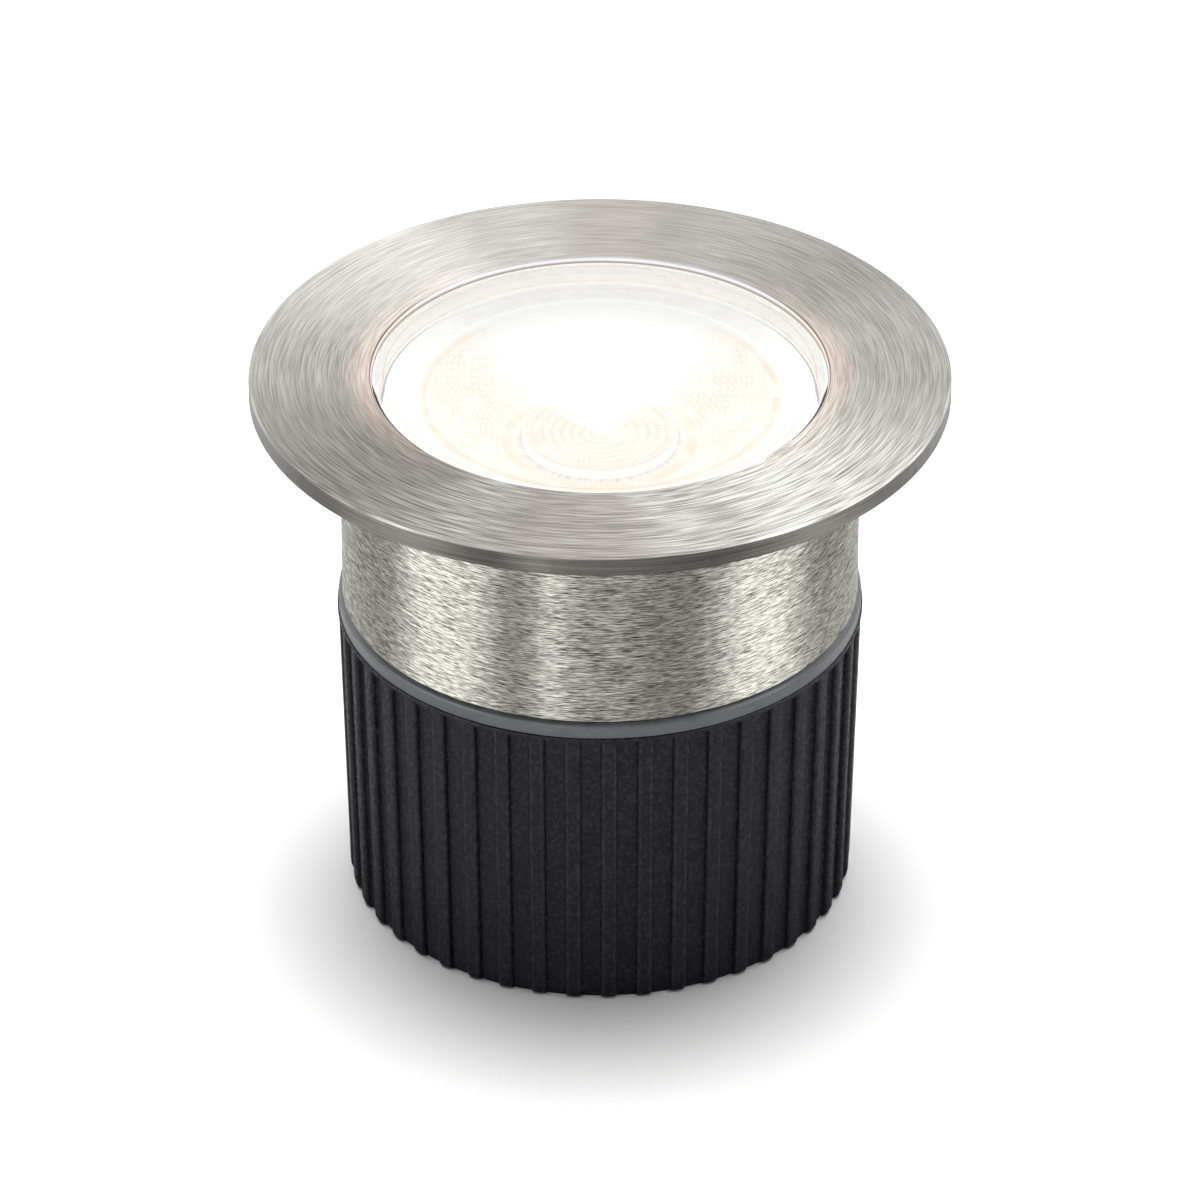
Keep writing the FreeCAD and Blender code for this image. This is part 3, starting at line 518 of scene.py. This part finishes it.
def canister_plastic():
    """Black moulded plastic with a spark-eroded skin, with a painted highlight on the crests' edges."""
    paint = Paint("canister_plastic", Specular_IOR_Level=0.36)
    where = paint.place()
    skin = paint.noise(where, 2600.0, 3.0, 0.65)
    pits = paint.cells(where, 1700.0)
    patch = paint.noise(where, 170.0, 3.0)
    crest_highlight_breakup = paint.noise(where, 900.0, 4.0, 0.7)
    # Painted highlight: the crests' edges, from the edge attribute, are painted paler, broken up by a
    # noise.
    edge = paint.add("Attribute", attribute_name="edge").outputs["Fac"]
    crest_highlight = paint.times(edge, paint.range(crest_highlight_breakup, 0.38, 0.66))
    plastic = paint.ramp(patch, (0.3, (0.0045, 0.0038, 0.0056)), (0.7, (0.0065, 0.0056, 0.008)))
    speck = paint.noise(where, 1500.0, 2.0, 0.6)
    plastic = paint.mix(paint.range(speck, 0.46, 0.66, 0.0, 0.8), plastic, (0.026, 0.024, 0.03))
    height = paint.plus(skin, paint.times(pits, 0.4))
    paint.set(
        Base_Color=paint.mix(paint.times(crest_highlight, 0.3), plastic, (0.07, 0.07, 0.078)),
        Roughness=paint.range(speck, 0.35, 0.65, 0.5, 0.3),
        Normal=paint.bump(height, 0.08 * MM),
    )
    return paint.material


def lens_glass():
    """Clear toughened glass, all but free of marks, with a faint brownish line painted where its bevel
    ends, a painted reflection.
    """
    paint = Paint("lens_glass", Transmission_Weight=1.0, IOR=1.5)
    film = paint.noise(paint.place(), 95.0, 3.0)
    _, _, span, up = paint.around()
    # Painted reflection: a brownish tint in a thin ring where the bevel ends.
    off_edge = paint.absolute(paint.math("SUBTRACT", span, GLASS_BOSS - GLASS_BEVEL_WIDTH))
    line = paint.times(paint.range(off_edge, 0.06 * MM, 0.16 * MM, 1.0, 0.0),
                       paint.range(up, GLASS_SHOULDER, GLASS_TOP - 0.2 * MM))
    paint.set(
        Base_Color=paint.mix(line, (0.985, 0.995, 0.985), (0.84, 0.77, 0.64)),
        Roughness=paint.range(film, 0.35, 0.8, 0.0, 0.012),
    )
    return paint.material


def optic_top_clear():
    """The polished top of the moulded optic."""
    paint = Paint("optic_top_clear", Base_Color=(0.995, 0.993, 0.98), Transmission_Weight=1.0, IOR=1.49)
    flow = paint.noise(paint.place(), 140.0, 2.0)
    paint.set(Roughness=paint.range(flow, 0.3, 0.8, 0.0, 0.01))
    return paint.material


def optic_glow():
    """The optic's faceted flank and pocket, lit from within. Its tone is painted light: whiter at the
    sides, pinker at the front, each facet's rim a shade deeper at the sides and the front, and a pinkish
    line round the pocket at the front; painted shade dims it at the rear top.
    """
    paint = Paint("optic_glow", Roughness=0.4)
    facet = paint.add("Attribute", attribute_name="facet").outputs["Fac"]
    east, north, span, up = paint.around()
    drift = paint.noise(paint.place(), 240.0, 3.0)
    # Painted light: tones for the sides and the front, and where the facet rims show.
    beside = paint.range(paint.absolute(east), 0.55, 0.9)
    near = paint.range(north, -0.2, -0.75)
    shown = paint.times(paint.math("MAXIMUM", beside, near), paint.range(drift, 0.36, 0.6, 0.35, 1.0))
    rim = paint.times(paint.range(facet, 0.3, 0.9, 1.0, 0.0), shown)
    off_line = paint.absolute(paint.math("SUBTRACT", span, POCKET_RADIUS - 0.35 * MM))
    line = paint.times(paint.range(off_line, 0.1 * MM, 0.3 * MM, 1.0, 0.0), near)
    tone = paint.mix(beside, (1.0, 1.0, 1.0), (1.0, 0.98, 0.92))
    tone = paint.mix(near, tone, (1.0, 0.915, 0.875))
    tone = paint.mix(rim, tone, (1.0, 0.81, 0.67))
    tone = paint.mix(line, tone, (0.96, 0.72, 0.62))
    # Painted shade: the glow is dimmer at the rear top.
    high = paint.range(up, OPTIC_TOP - 8.0 * MM, OPTIC_TOP)
    rear = paint.times(paint.range(north, 0.1, 0.9), high)
    paint.set(
        Base_Color=(0.1, 0.1, 0.1),
        Emission_Color=tone,
        Emission_Strength=paint.range(rear, 0.0, 1.0, 1.08, 0.9, "LINEAR"),
    )
    return paint.material


def holder_white():
    """White moulded carrier round the optic, with a painted glow for the light that strays into it, a
    touch pinker at the front, and painted shade that dims it at the rear.
    """
    paint = Paint("holder_white", Roughness=0.38)
    where = paint.place()
    flow = paint.noise(where, 300.0, 3.0)
    _, north, _, _ = paint.around()
    # Painted glow with painted shade: pinker at the front, dimmer at the rear.
    near = paint.range(north, 0.2, -0.7)
    shade = paint.range(north, 0.2, 1.0, 0.0, 0.22)
    paint.set(
        Base_Color=paint.ramp(flow, (0.3, (0.2, 0.195, 0.19)), (0.7, (0.24, 0.235, 0.23))),
        Emission_Color=paint.mix(near, (1.0, 0.985, 0.98), (1.0, 0.95, 0.94)),
        Emission_Strength=paint.math("SUBTRACT", paint.range(flow, 0.3, 0.7, 0.94, 0.97), shade),
        Normal=paint.bump(paint.noise(where, 4200.0), 0.004 * MM),
    )
    return paint.material


def gasket_silicone():
    """The window's silicone channel, translucent and reddish, with a painted glow for the light in it,
    warmer in its lip and at the front and the rear.
    """
    paint = Paint("gasket_silicone", Roughness=0.5)
    where = paint.place()
    flow = paint.noise(where, 700.0, 3.0)
    _, north, span, _ = paint.around()
    # Painted glow: warmer towards the front and the rear and in the lip.
    far = paint.range(paint.absolute(north), 0.25, 0.8)
    off_lip = paint.absolute(paint.math("SUBTRACT", span, GASKET_BORE + 0.15 * MM))
    lip = paint.range(off_lip, 0.05 * MM, 0.14 * MM, 1.0, 0.0)
    tone = paint.mix(far, (1.0, 0.99, 0.96), (0.97, 0.94, 0.89))
    paint.set(
        Base_Color=paint.ramp(flow, (0.3, (0.3, 0.29, 0.28)), (0.7, (0.34, 0.33, 0.32))),
        Emission_Color=paint.mix(lip, tone, (0.92, 0.78, 0.7)),
        Emission_Strength=paint.range(flow, 0.3, 0.7, 0.78, 0.82),
        Normal=paint.bump(paint.noise(where, 3600.0), 0.006 * MM),
    )
    return paint.material


def phosphor():
    """The light source's phosphor disc."""
    paint = Paint("phosphor", Roughness=0.6)
    grain = paint.noise(paint.place(), 2600.0, 3.0)
    paint.set(
        Base_Color=paint.ramp(grain, (0.3, (0.86, 0.66, 0.18)), (0.7, (0.95, 0.76, 0.26))),
        Emission_Color=(1.0, 0.86, 0.6),
        Emission_Strength=paint.range(grain, 0.3, 0.7, 1.3, 1.5),
    )
    return paint.material


# ---------------------------------------------------------------- finishes of the inner pieces

def grained(name, dark, light, coarse, fine, depth, roughness, **sockets):
    """A moulded, cast or plated finish: tone from a coarse noise, skin from a fine one."""
    paint = Paint(name, **sockets)
    where = paint.place()
    tone = paint.noise(where, coarse, 4.0, 0.6)
    skin = paint.noise(where, fine, 3.0, 0.6)
    paint.set(
        Base_Color=paint.ramp(tone, (0.32, dark), (0.7, light)),
        Roughness=paint.range(tone, 0.3, 0.7, roughness - 0.07, roughness + 0.07),
        Normal=paint.bump(skin, depth),
    )
    return paint.material


def turned_metal(name, dark, light, roughness):
    """A turned or plated metal, with fine tool lines round the axis."""
    paint = Paint(name, Metallic=1.0, Anisotropic=0.4)
    _, _, span, up = paint.around()
    run = paint.plus(span, up)
    lines = paint.strokes(run, 9.0 * MM, 6.0 * MM, 0.09 * MM)
    tone = paint.noise(paint.place(), 420.0, 4.0, 0.6)
    paint.set(
        Base_Color=paint.ramp(tone, (0.32, dark), (0.7, light)),
        Roughness=paint.range(lines, 0.3, 0.7, roughness, roughness + 0.12),
        Normal=paint.bump(lines, 0.003 * MM),
    )
    return paint.material


def circuit_lacquer():
    """Green solder mask over copper tracks, with bare pads that glint."""
    paint = Paint("circuit_lacquer", Coat_Weight=0.4, Coat_Roughness=0.15)
    where = paint.place()
    tracks = paint.add("TexBrick", {"Vector": where, "Scale": 420.0, "Mortar Size": 0.035}).outputs["Fac"]
    pads = paint.range(paint.cells(where, 260.0), 0.1, 0.14, 1.0, 0.0)
    mask = paint.mix(tracks, (0.012, 0.11, 0.045), (0.03, 0.2, 0.08))
    paint.set(
        Base_Color=paint.mix(pads, mask, (0.62, 0.6, 0.56)),
        Metallic=paint.times(pads, 0.9),
        Roughness=paint.range(pads, 0.0, 1.0, 0.42, 0.3),
        Normal=paint.bump(paint.plus(tracks, pads), 0.03 * MM),
    )
    return paint.material


def inner_finishes():
    """One material for each of the record's slots that a CAD node still shows."""
    return {
        "black_rubber": grained("black_rubber", (0.02, 0.02, 0.021), (0.034, 0.034, 0.035), 500.0,
                                4200.0, 0.012 * MM, 0.62),
        "silicone": grained("flat_silicone", (0.5, 0.33, 0.27), (0.6, 0.42, 0.35), 600.0, 3800.0,
                            0.008 * MM, 0.5),
        "white_plastic": grained("white_plastic", (0.76, 0.75, 0.72), (0.84, 0.83, 0.8), 320.0,
                                 4200.0, 0.005 * MM, 0.4),
        "white_board": grained("white_board", (0.76, 0.77, 0.76), (0.84, 0.85, 0.84), 700.0, 5200.0,
                               0.006 * MM, 0.45),
        "thermal_pad": grained("thermal_pad", (0.42, 0.5, 0.6), (0.52, 0.6, 0.7), 900.0, 3400.0,
                               0.02 * MM, 0.7),
        "cast_aluminium": grained("cast_aluminium", (0.5, 0.51, 0.52), (0.62, 0.63, 0.64), 380.0,
                                  2600.0, 0.02 * MM, 0.44, Metallic=1.0),
        "fastener_steel": turned_metal("fastener_steel", (0.5, 0.5, 0.5), (0.64, 0.64, 0.63), 0.24),
        "brass": turned_metal("turned_brass", (0.62, 0.46, 0.2), (0.76, 0.6, 0.3), 0.26),
        "nickel": turned_metal("plated_nickel", (0.56, 0.55, 0.51), (0.7, 0.69, 0.65), 0.18),
        "component_black": grained("component_black", (0.022, 0.022, 0.025), (0.04, 0.04, 0.043), 700.0,
                                   4600.0, 0.008 * MM, 0.42),
        "terminal_green": grained("terminal_green", (0.07, 0.28, 0.15), (0.1, 0.37, 0.2), 600.0, 4200.0,
                                  0.006 * MM, 0.4),
        "lead_red": grained("lead_red", (0.4, 0.025, 0.02), (0.52, 0.045, 0.035), 800.0, 4200.0,
                            0.005 * MM, 0.42),
        "circuit_board": circuit_lacquer(),
        "light_source": phosphor(),
    }


# ---------------------------------------------------------------- lamp head

def face_ring():
    """The flange, with broken edges; its rim and underside carry the duller turned finish."""
    piece = lathe("Face_Ring", [
        (WINDOW_RADIUS, FLANGE_UNDER),
        (FACE_RADIUS, FLANGE_UNDER, EDGE_BREAK),
        (FACE_RADIUS, FACE_TOP - FLANGE_CHAMFER, EDGE_BREAK),
        (FACE_RADIUS - FLANGE_CHAMFER, FACE_TOP, EDGE_BREAK),
        (MOUTH_RADIUS, FACE_TOP, 0.06 * MM),
        (WINDOW_RADIUS, FACE_TOP - WINDOW_CHAMFER, 0.06 * MM),
    ], sides=480)
    settle(piece, "lamp_head", "face_ring", flange_steel(), edge_steel(), bore_steel())
    for face in piece.data.polygons:
        span = math.hypot(face.center.x, face.center.y)
        if span > FACE_RADIUS - 0.1 * MM or face.normal.z < -0.5:
            face.material_index = 1
        if span < MOUTH_RADIUS:
            face.material_index = 2


def barrel_sleeve():
    """The tube under the flange."""
    piece = lathe("Barrel_Sleeve", [
        (BARREL_RADIUS - BARREL_WALL, BARREL_FOOT),
        (BARREL_RADIUS, BARREL_FOOT, 0.25 * MM),
        (BARREL_RADIUS, FLANGE_UNDER),
        (BARREL_RADIUS - BARREL_WALL, FLANGE_UNDER),
    ])
    settle(piece, "lamp_head", "barrel_sleeve", barrel_steel())


def glass_lens():
    """The stepped glass with its polished bevel, shallower than the CAD's: at that slope it would
    mirror the dark gap under it."""
    piece = lathe("Glass_Lens", [
        (0.0, GLASS_UNDER),
        (GLASS_EDGE, GLASS_UNDER, 0.3 * MM),
        (GLASS_EDGE, GLASS_SHOULDER, 0.3 * MM),
        (GLASS_BOSS, GLASS_SHOULDER),
        (GLASS_BOSS, GLASS_TOP - GLASS_BEVEL, 0.08 * MM),
        (GLASS_BOSS - GLASS_BEVEL, GLASS_TOP - GLASS_BEVEL_LAND, 0.08 * MM),
        (GLASS_BOSS - GLASS_BEVEL_WIDTH, GLASS_TOP),
        (0.0, GLASS_TOP),
    ])
    settle(piece, "lamp_head", "glass_lens", lens_glass())


def glass_gasket():
    """The silicone channel round the glass."""
    fit = 0.05 * MM
    outer = reach("glass_gasket")
    piece = lathe("Glass_Gasket", [
        (GASKET_BORE, foot("glass_gasket"), 0.2 * MM),
        (outer, foot("glass_gasket"), 0.2 * MM),
        (outer, FLANGE_UNDER, 0.2 * MM),
        (GASKET_MOUTH, FLANGE_UNDER, 0.2 * MM),
        (GASKET_MOUTH, GLASS_SHOULDER + fit, 0.1 * MM),
        (GLASS_EDGE + fit, GLASS_SHOULDER + fit, 0.2 * MM),
        (GLASS_EDGE + fit, GLASS_UNDER - fit, 0.2 * MM),
        (GASKET_BORE, GLASS_UNDER - fit, 0.2 * MM),
    ])
    settle(piece, "lamp_head", "glass_gasket", gasket_silicone())


def optic_holder():
    """The white carrier with its stepped ring."""
    ledge = OPTIC_TOP - OPTIC_RIM
    piece = lathe("Optic_Holder", [
        (HOLDER_RADIUS - HOLDER_WALL, foot("optic_holder")),
        (HOLDER_RADIUS, foot("optic_holder"), 0.2 * MM),
        (HOLDER_RADIUS, OPTIC_TOP, 0.35 * MM),
        (OPTIC_RADIUS + 0.05 * MM, OPTIC_TOP, 0.15 * MM),
        (OPTIC_RADIUS + 0.05 * MM, ledge),
        (HOLDER_BORE, ledge, 0.15 * MM),
        (HOLDER_BORE, ledge - HOLDER_WALL, 0.2 * MM),
        (HOLDER_RADIUS - HOLDER_WALL, ledge - HOLDER_WALL),
    ])
    settle(piece, "lamp_head", "optic_holder", holder_white())


def flank_points():
    """The flank's arc from foot to shoulder, as (radius, level, outward direction)."""
    start = Vector((OPTIC_FOOT, OPTIC_BASE))
    end = Vector((OPTIC_SHOULDER, OPTIC_TOP - OPTIC_RIM))
    chord = end - start
    side = Vector((chord.y, -chord.x)).normalized()
    centre = (start + end) / 2 - side * math.sqrt(FLANK_BOW ** 2 - (chord.length / 2) ** 2)
    count = FACET_ROWS * FACET_GRID
    points = []
    for step in range(count + 1):
        out = (start - centre).lerp(end - centre, step / count).normalized()
        point = centre + out * FLANK_BOW
        points.append((point.x, point.y, out))
    return points


def pillow(along, around):
    """How far a staggered scale-like facet rises at this place, from 0 at its rim to 1 in its middle."""
    row = math.floor(along)
    across = (around + 0.5 * (row % 2)) % 1.0
    return math.sin(math.pi * (along - row)) ** 0.6 * math.sin(math.pi * across) ** 0.6


def tir_optic():
    """The collimator: polished top, faceted flank, and a pocket whose ceiling is faceted too."""
    sides = FACETS_ROUND * FACET_GRID
    ceiling = OPTIC_BASE + POCKET_DEPTH
    vertices, facet, rings = [], [], []

    def ring(radius, level, out=None, along=0.0):
        """A ring of points; where it has an outward direction, the facets swell that way."""
        rings.append(list(range(len(vertices), len(vertices) + sides)))
        for side in range(sides):
            angle = math.tau * side / sides
            span, height, rise = radius, level, 1.0
            if out is not None:
                rise = pillow(along, side / FACET_GRID)
                span += out.x * FACET_SWELL * rise
                height += out.y * FACET_SWELL * rise
            vertices.append((span * math.cos(angle), span * math.sin(angle), height))
            facet.append(rise)

    for step in range(1, POCKET_ROWS * FACET_GRID):
        share = step / (POCKET_ROWS * FACET_GRID)
        level = ceiling - POCKET_DOME * (1 - share ** 2)
        ring(POCKET_RADIUS * share, level, Vector((0.0, -1.0)), step / FACET_GRID)
    ring(POCKET_RADIUS, ceiling)
    ring(POCKET_RADIUS, OPTIC_BASE)
    for step, (radius, level, out) in enumerate(flank_points()):
        ring(radius, level, out, step / FACET_GRID)
    ring(OPTIC_RADIUS, OPTIC_TOP - OPTIC_RIM)
    ring(OPTIC_RADIUS, OPTIC_TOP - 0.1 * MM)
    ring(OPTIC_RADIUS - 0.1 * MM, OPTIC_TOP)
    bottom = len(vertices)
    vertices.append((0.0, 0.0, ceiling - POCKET_DOME))
    top = len(vertices)
    vertices.append((0.0, 0.0, OPTIC_TOP))
    facet += [1.0, 1.0]
    faces = []
    for lower, upper in zip(rings, rings[1:]):
        for side in range(sides):
            after = (side + 1) % sides
            faces.append((lower[side], lower[after], upper[after], upper[side]))
    for side in range(sides):
        after = (side + 1) % sides
        faces.append((rings[0][after], rings[0][side], bottom))
        faces.append((rings[-1][side], rings[-1][after], top))
    piece = build("TIR_Optic", vertices, faces, crease=50.0)
    piece.data.attributes.new("facet", "FLOAT", "POINT").data.foreach_set("value", facet)
    settle(piece, "lamp_head", "tir_optic", optic_glow(), optic_top_clear())
    for face in piece.data.polygons:
        if face.center.z > OPTIC_TOP - 0.5 * OPTIC_RIM:
            face.material_index = 1


# ---------------------------------------------------------------- ground canister

def rib_section():
    """The can's outline from above: ribs with rounded crests, as (angle, rise) all round."""
    pitch = math.tau * (ROOT_TOP + RIB_DEPTH / 2) / RIB_COUNT
    half = RIB_WIDTH / 2
    one = rounded([
        (-pitch / 2, 0.0),
        (-half - RIB_FLANK, 0.0, EDGE_BREAK),
        (-half, RIB_DEPTH, RIB_ROUND),
        (half, RIB_DEPTH, RIB_ROUND),
        (half + RIB_FLANK, 0.0, EDGE_BREAK),
        (pitch / 2, 0.0),
    ], steps=6)[:-1]
    section = []
    for rib in range(RIB_COUNT):
        middle = math.tau * rib / RIB_COUNT
        for across, rise in one:
            section.append((middle + across / pitch * math.tau / RIB_COUNT, rise))
    return section


def ground_canister():
    """The moulded can: drafted ribbed wall, ledge, tongue, bore, floor, cable entry and drains."""
    ledge_under = CAN_MOUTH - LEDGE_HEIGHT
    root_base = ROOT_TOP - ledge_under * DRAFT
    bore_base = root_base + CAN_FLOOR * DRAFT - CAN_WALL
    bore_top = bore_base + (CAN_MOUTH - CAN_FLOOR) * DRAFT
    ring_inner = root_base - BASE_RING
    wall = []
    for step in range(7):
        turn = math.pi / 2 * step / 6
        level = RIB_END * (1 - math.cos(turn))
        wall.append((root_base + level * DRAFT - BASE_ROUND * (1 - math.sin(turn)) ** 2, level,
                     0.1 + 0.9 * math.sin(turn)))
    for level in (15.0 * MM, 30.0 * MM, ledge_under - 0.3 * MM, ledge_under):
        wall.append((root_base + level * DRAFT, level, 1.0))
    ledge = rounded([
        (CAN_RADIUS, ledge_under, EDGE_BREAK),
        (CAN_RADIUS, CAN_MOUTH, 0.15 * MM),
        (TONGUE_OUTER, CAN_MOUTH),
        (TONGUE_OUTER, TONGUE_TOP, 0.15 * MM),
        (TONGUE_INNER, TONGUE_TOP, 0.15 * MM),
        (TONGUE_INNER, CAN_MOUTH),
        (bore_top, CAN_MOUTH, 0.2 * MM),
        (bore_base, CAN_FLOOR, 0.8 * MM),
        (COLLAR_RADIUS, CAN_FLOOR),
        (COLLAR_RADIUS, COLLAR_TOP, 0.3 * MM),
        (ENTRY_RADIUS, COLLAR_TOP, 0.3 * MM),
        (ENTRY_RADIUS, BASE_RECESS, 0.2 * MM),
        (ring_inner, BASE_RECESS),
        (ring_inner, 0.0),
    ])
    section = rib_section()
    piece = spin("Ground_Canister", wall + ledge, section, crease=38.0)
    # The crests' corners, marked for the canister's painted highlight.
    crest_highlight_rows = []
    for index in range(len(piece.data.vertices)):
        row, column = divmod(index, len(section))
        share = section[column][1] / RIB_DEPTH
        crest_highlight_rows.append(1.0 if 0.8 < share < 0.99 and row < len(wall) else 0.0)
    piece.data.attributes.new("edge", "FLOAT", "POINT").data.foreach_set("value", crest_highlight_rows)
    place = (COLLAR_RADIUS + bore_base) / 2
    turns = [turn * math.pi / 2 for turn in range(DRAIN_COUNT)]
    centres = [(place * math.cos(turn), place * math.sin(turn)) for turn in turns]
    drill(piece, centres, DRAIN_RADIUS, 0.0, CAN_FLOOR + 0.5 * MM)
    settle(piece, "canister", "ground_canister", canister_plastic())


def rim_seal():
    """The grey ring on the can's mouth, with its groove for the tongue."""
    fit = 0.1 * MM
    mouth = TONGUE_INNER - 1.0 * MM
    piece = lathe("Rim_Seal", [
        (mouth, CAN_MOUTH),
        (TONGUE_INNER - fit, CAN_MOUTH),
        (TONGUE_INNER - fit, TONGUE_TOP + fit),
        (TONGUE_OUTER + fit, TONGUE_TOP + fit),
        (TONGUE_OUTER + fit, CAN_MOUTH),
        (RIM_RADIUS, CAN_MOUTH, EDGE_BREAK),
        (RIM_RADIUS, RIM_TOP, RIM_ROUND),
        (mouth, RIM_TOP, 0.3 * MM),
    ], steps=8)
    settle(piece, "canister", "rim_seal", seal_rubber())


# ---------------------------------------------------------------- studio, floor and camera

# Softboxes: azimuth is from the viewer's side towards +X, and every angle is in degrees. The last three
# are black flags, which take light away from the room's rear.
SOFTBOXES = [
    {"azimuth": 72.0, "spread": 10.0, "soft": 16.0, "low": 0.0, "high": 44.0, "strength": 5.6},
    {"azimuth": 137.0, "spread": 12.0, "soft": 14.0, "low": 30.0, "high": 62.0, "strength": 4.1},
    {"azimuth": -144.0, "spread": 12.0, "soft": 14.0, "low": 16.0, "high": 56.0, "strength": 1.2},
    {"azimuth": -66.0, "spread": 12.0, "soft": 16.0, "low": -6.0, "high": 14.0, "strength": 10.5},
    {"azimuth": -20.0, "spread": 0.4, "soft": 2.4, "low": -2.0, "high": 18.0, "strength": 30.0},
    {"azimuth": 0.0, "spread": 8.0, "soft": 20.0, "low": -2.0, "high": 18.0, "strength": 2.2},
    {"azimuth": 180.0, "spread": 3.0, "soft": 12.0, "low": -10.0, "high": 70.0, "strength": -1.0},
    {"azimuth": 116.0, "spread": 10.0, "soft": 14.0, "low": -10.0, "high": 24.0, "strength": -0.85},
    {"azimuth": -118.0, "spread": 6.0, "soft": 12.0, "low": -10.0, "high": 22.0, "strength": -0.3},
]
ROOM_FRONT = 0.15
ROOM_BACK = 1.3
ROOM_TOP = 0.3  # the share of that light overhead
KEY = {"tilt": 10.0, "inner": 6.0, "outer": 37.0, "strength": 13.6}  # overhead, leaning to the rear
MATTE_FILL = 0.1


def studio():
    """The world: white to the camera and through glass, softboxes in a dim room to glossy rays, and
    the key light with a tenth of the room to the rest."""
    world = bpy.data.worlds.new("studio")
    bpy.context.scene.world = world
    sky = Nodes(world)
    across, along, up = sky.parts(sky.add("TexCoord").outputs["Generated"])
    azimuth = sky.math("DEGREES", sky.math("ARCTAN2", across, sky.times(along, -1.0)))
    elevation = sky.math("DEGREES", sky.math("ARCSINE", up))
    light = sky.range(along, -0.3, 0.95, ROOM_FRONT, ROOM_BACK)
    light = sky.times(light, sky.range(up, 0.25, 0.7, 1.0, ROOM_TOP))
    lean = math.radians(KEY["tilt"])
    towards = (0.0, math.sin(lean), math.cos(lean))
    facing = sky.add("VectorMath", {0: sky.vector(across, along, up), 1: towards}, operation="DOT_PRODUCT")
    off = sky.math("DEGREES", sky.math("ARCCOSINE", facing.outputs["Value"]))
    for box in SOFTBOXES:
        aside = sky.math("WRAP", sky.math("SUBTRACT", azimuth, box["azimuth"]), 180.0, -180.0)
        aside = sky.absolute(aside)
        middle, half = (box["low"] + box["high"]) / 2, (box["high"] - box["low"]) / 2
        above = sky.absolute(sky.math("SUBTRACT", elevation, middle))
        wide = sky.range(aside, box["spread"], box["spread"] + box["soft"], box["strength"], 0.0)
        tall = sky.range(above, half * 0.6, half * 1.4, 1.0, 0.0)
        light = sky.plus(light, sky.times(wide, tall))
    light = sky.math("MAXIMUM", light, 0.0)
    key = sky.range(off, KEY["inner"], KEY["outer"], KEY["strength"], 0.0)
    path = sky.add("LightPath").outputs
    matte = sky.math("MULTIPLY_ADD", light, MATTE_FILL, key)
    light = sky.between(path["Is Glossy Ray"], matte, light)
    seen = sky.math("MAXIMUM", path["Is Camera Ray"], path["Is Transmission Ray"])
    room = sky.add("Background", {"Color": (1.0, 1.0, 1.0), "Strength": light}).outputs[0]
    white = sky.add("Background", {"Color": (1.0, 1.0, 1.0), "Strength": 1.0}).outputs[0]
    both = sky.add("MixShader", {0: seen, 1: room, 2: white}).outputs[0]
    sky.add("OutputWorld", {"Surface": both})


FLOOR_WIDTH = 8.0
FLOOR_GLOW = 0.02


def floor():
    """A plain pale floor that is white to the camera where no shadow falls, and dim in reflections."""
    half = FLOOR_WIDTH / 2
    corners = [(-half, -half, 0.0), (half, -half, 0.0), (half, half, 0.0), (-half, half, 0.0)]
    plane = build("Floor", corners, [(0, 1, 2, 3)])
    paint = Paint("pale_floor", Roughness=0.9, Specular_IOR_Level=0.0, Emission_Color=(1.0, 1.0, 1.0))
    path = paint.add("LightPath").outputs
    paint.set(
        Base_Color=paint.mix(path["Is Glossy Ray"], (0.82, 0.82, 0.82), (0.26, 0.26, 0.26)),
        Emission_Strength=paint.times(path["Is Camera Ray"], FLOOR_GLOW),
    )
    plane.data.materials.append(paint.material)


LENS = {"focal": 253.08, "sensor": 36.0, "reach": 50.0}
EYE = (0.0, -1.03076, 0.69765)
EYE_DOWN = 32.35


def camera():
    """The photograph's view, fitted to its ellipses: from 1.25 m, through a long lens."""
    lens = bpy.data.cameras.new("photograph")
    lens.lens = LENS["focal"]
    lens.sensor_width = LENS["sensor"]
    lens.clip_end = LENS["reach"]
    eye = bpy.data.objects.new("photograph", lens)
    eye.location = EYE
    eye.rotation_euler = (math.radians(90.0 - EYE_DOWN), 0.0, 0.0)
    bpy.context.scene.collection.objects.link(eye)
    bpy.context.scene.camera = eye


# ---------------------------------------------------------------- scene

def dress_inner_nodes(replaced):
    """Gives each CAD node that still shows its slot's finish."""
    finishes = inner_finishes()
    for part in frame["record"]["subparts"]:
        if part["node"] in replaced:
            continue
        node = frame["nodes"][part["node"]]
        node.data.materials.clear()
        node.data.materials.append(finishes[part["material_slot"]])


SEEN = {
    "face_ring": face_ring,
    "barrel_sleeve": barrel_sleeve,
    "glass_lens": glass_lens,
    "glass_gasket": glass_gasket,
    "optic_holder": optic_holder,
    "tir_optic": tir_optic,
    "ground_canister": ground_canister,
    "rim_seal": rim_seal,
}
for make in SEEN.values():
    make()
dress_inner_nodes(SEEN)
studio()
floor()
camera()
bpy.context.scene.view_settings.view_transform = "Standard"
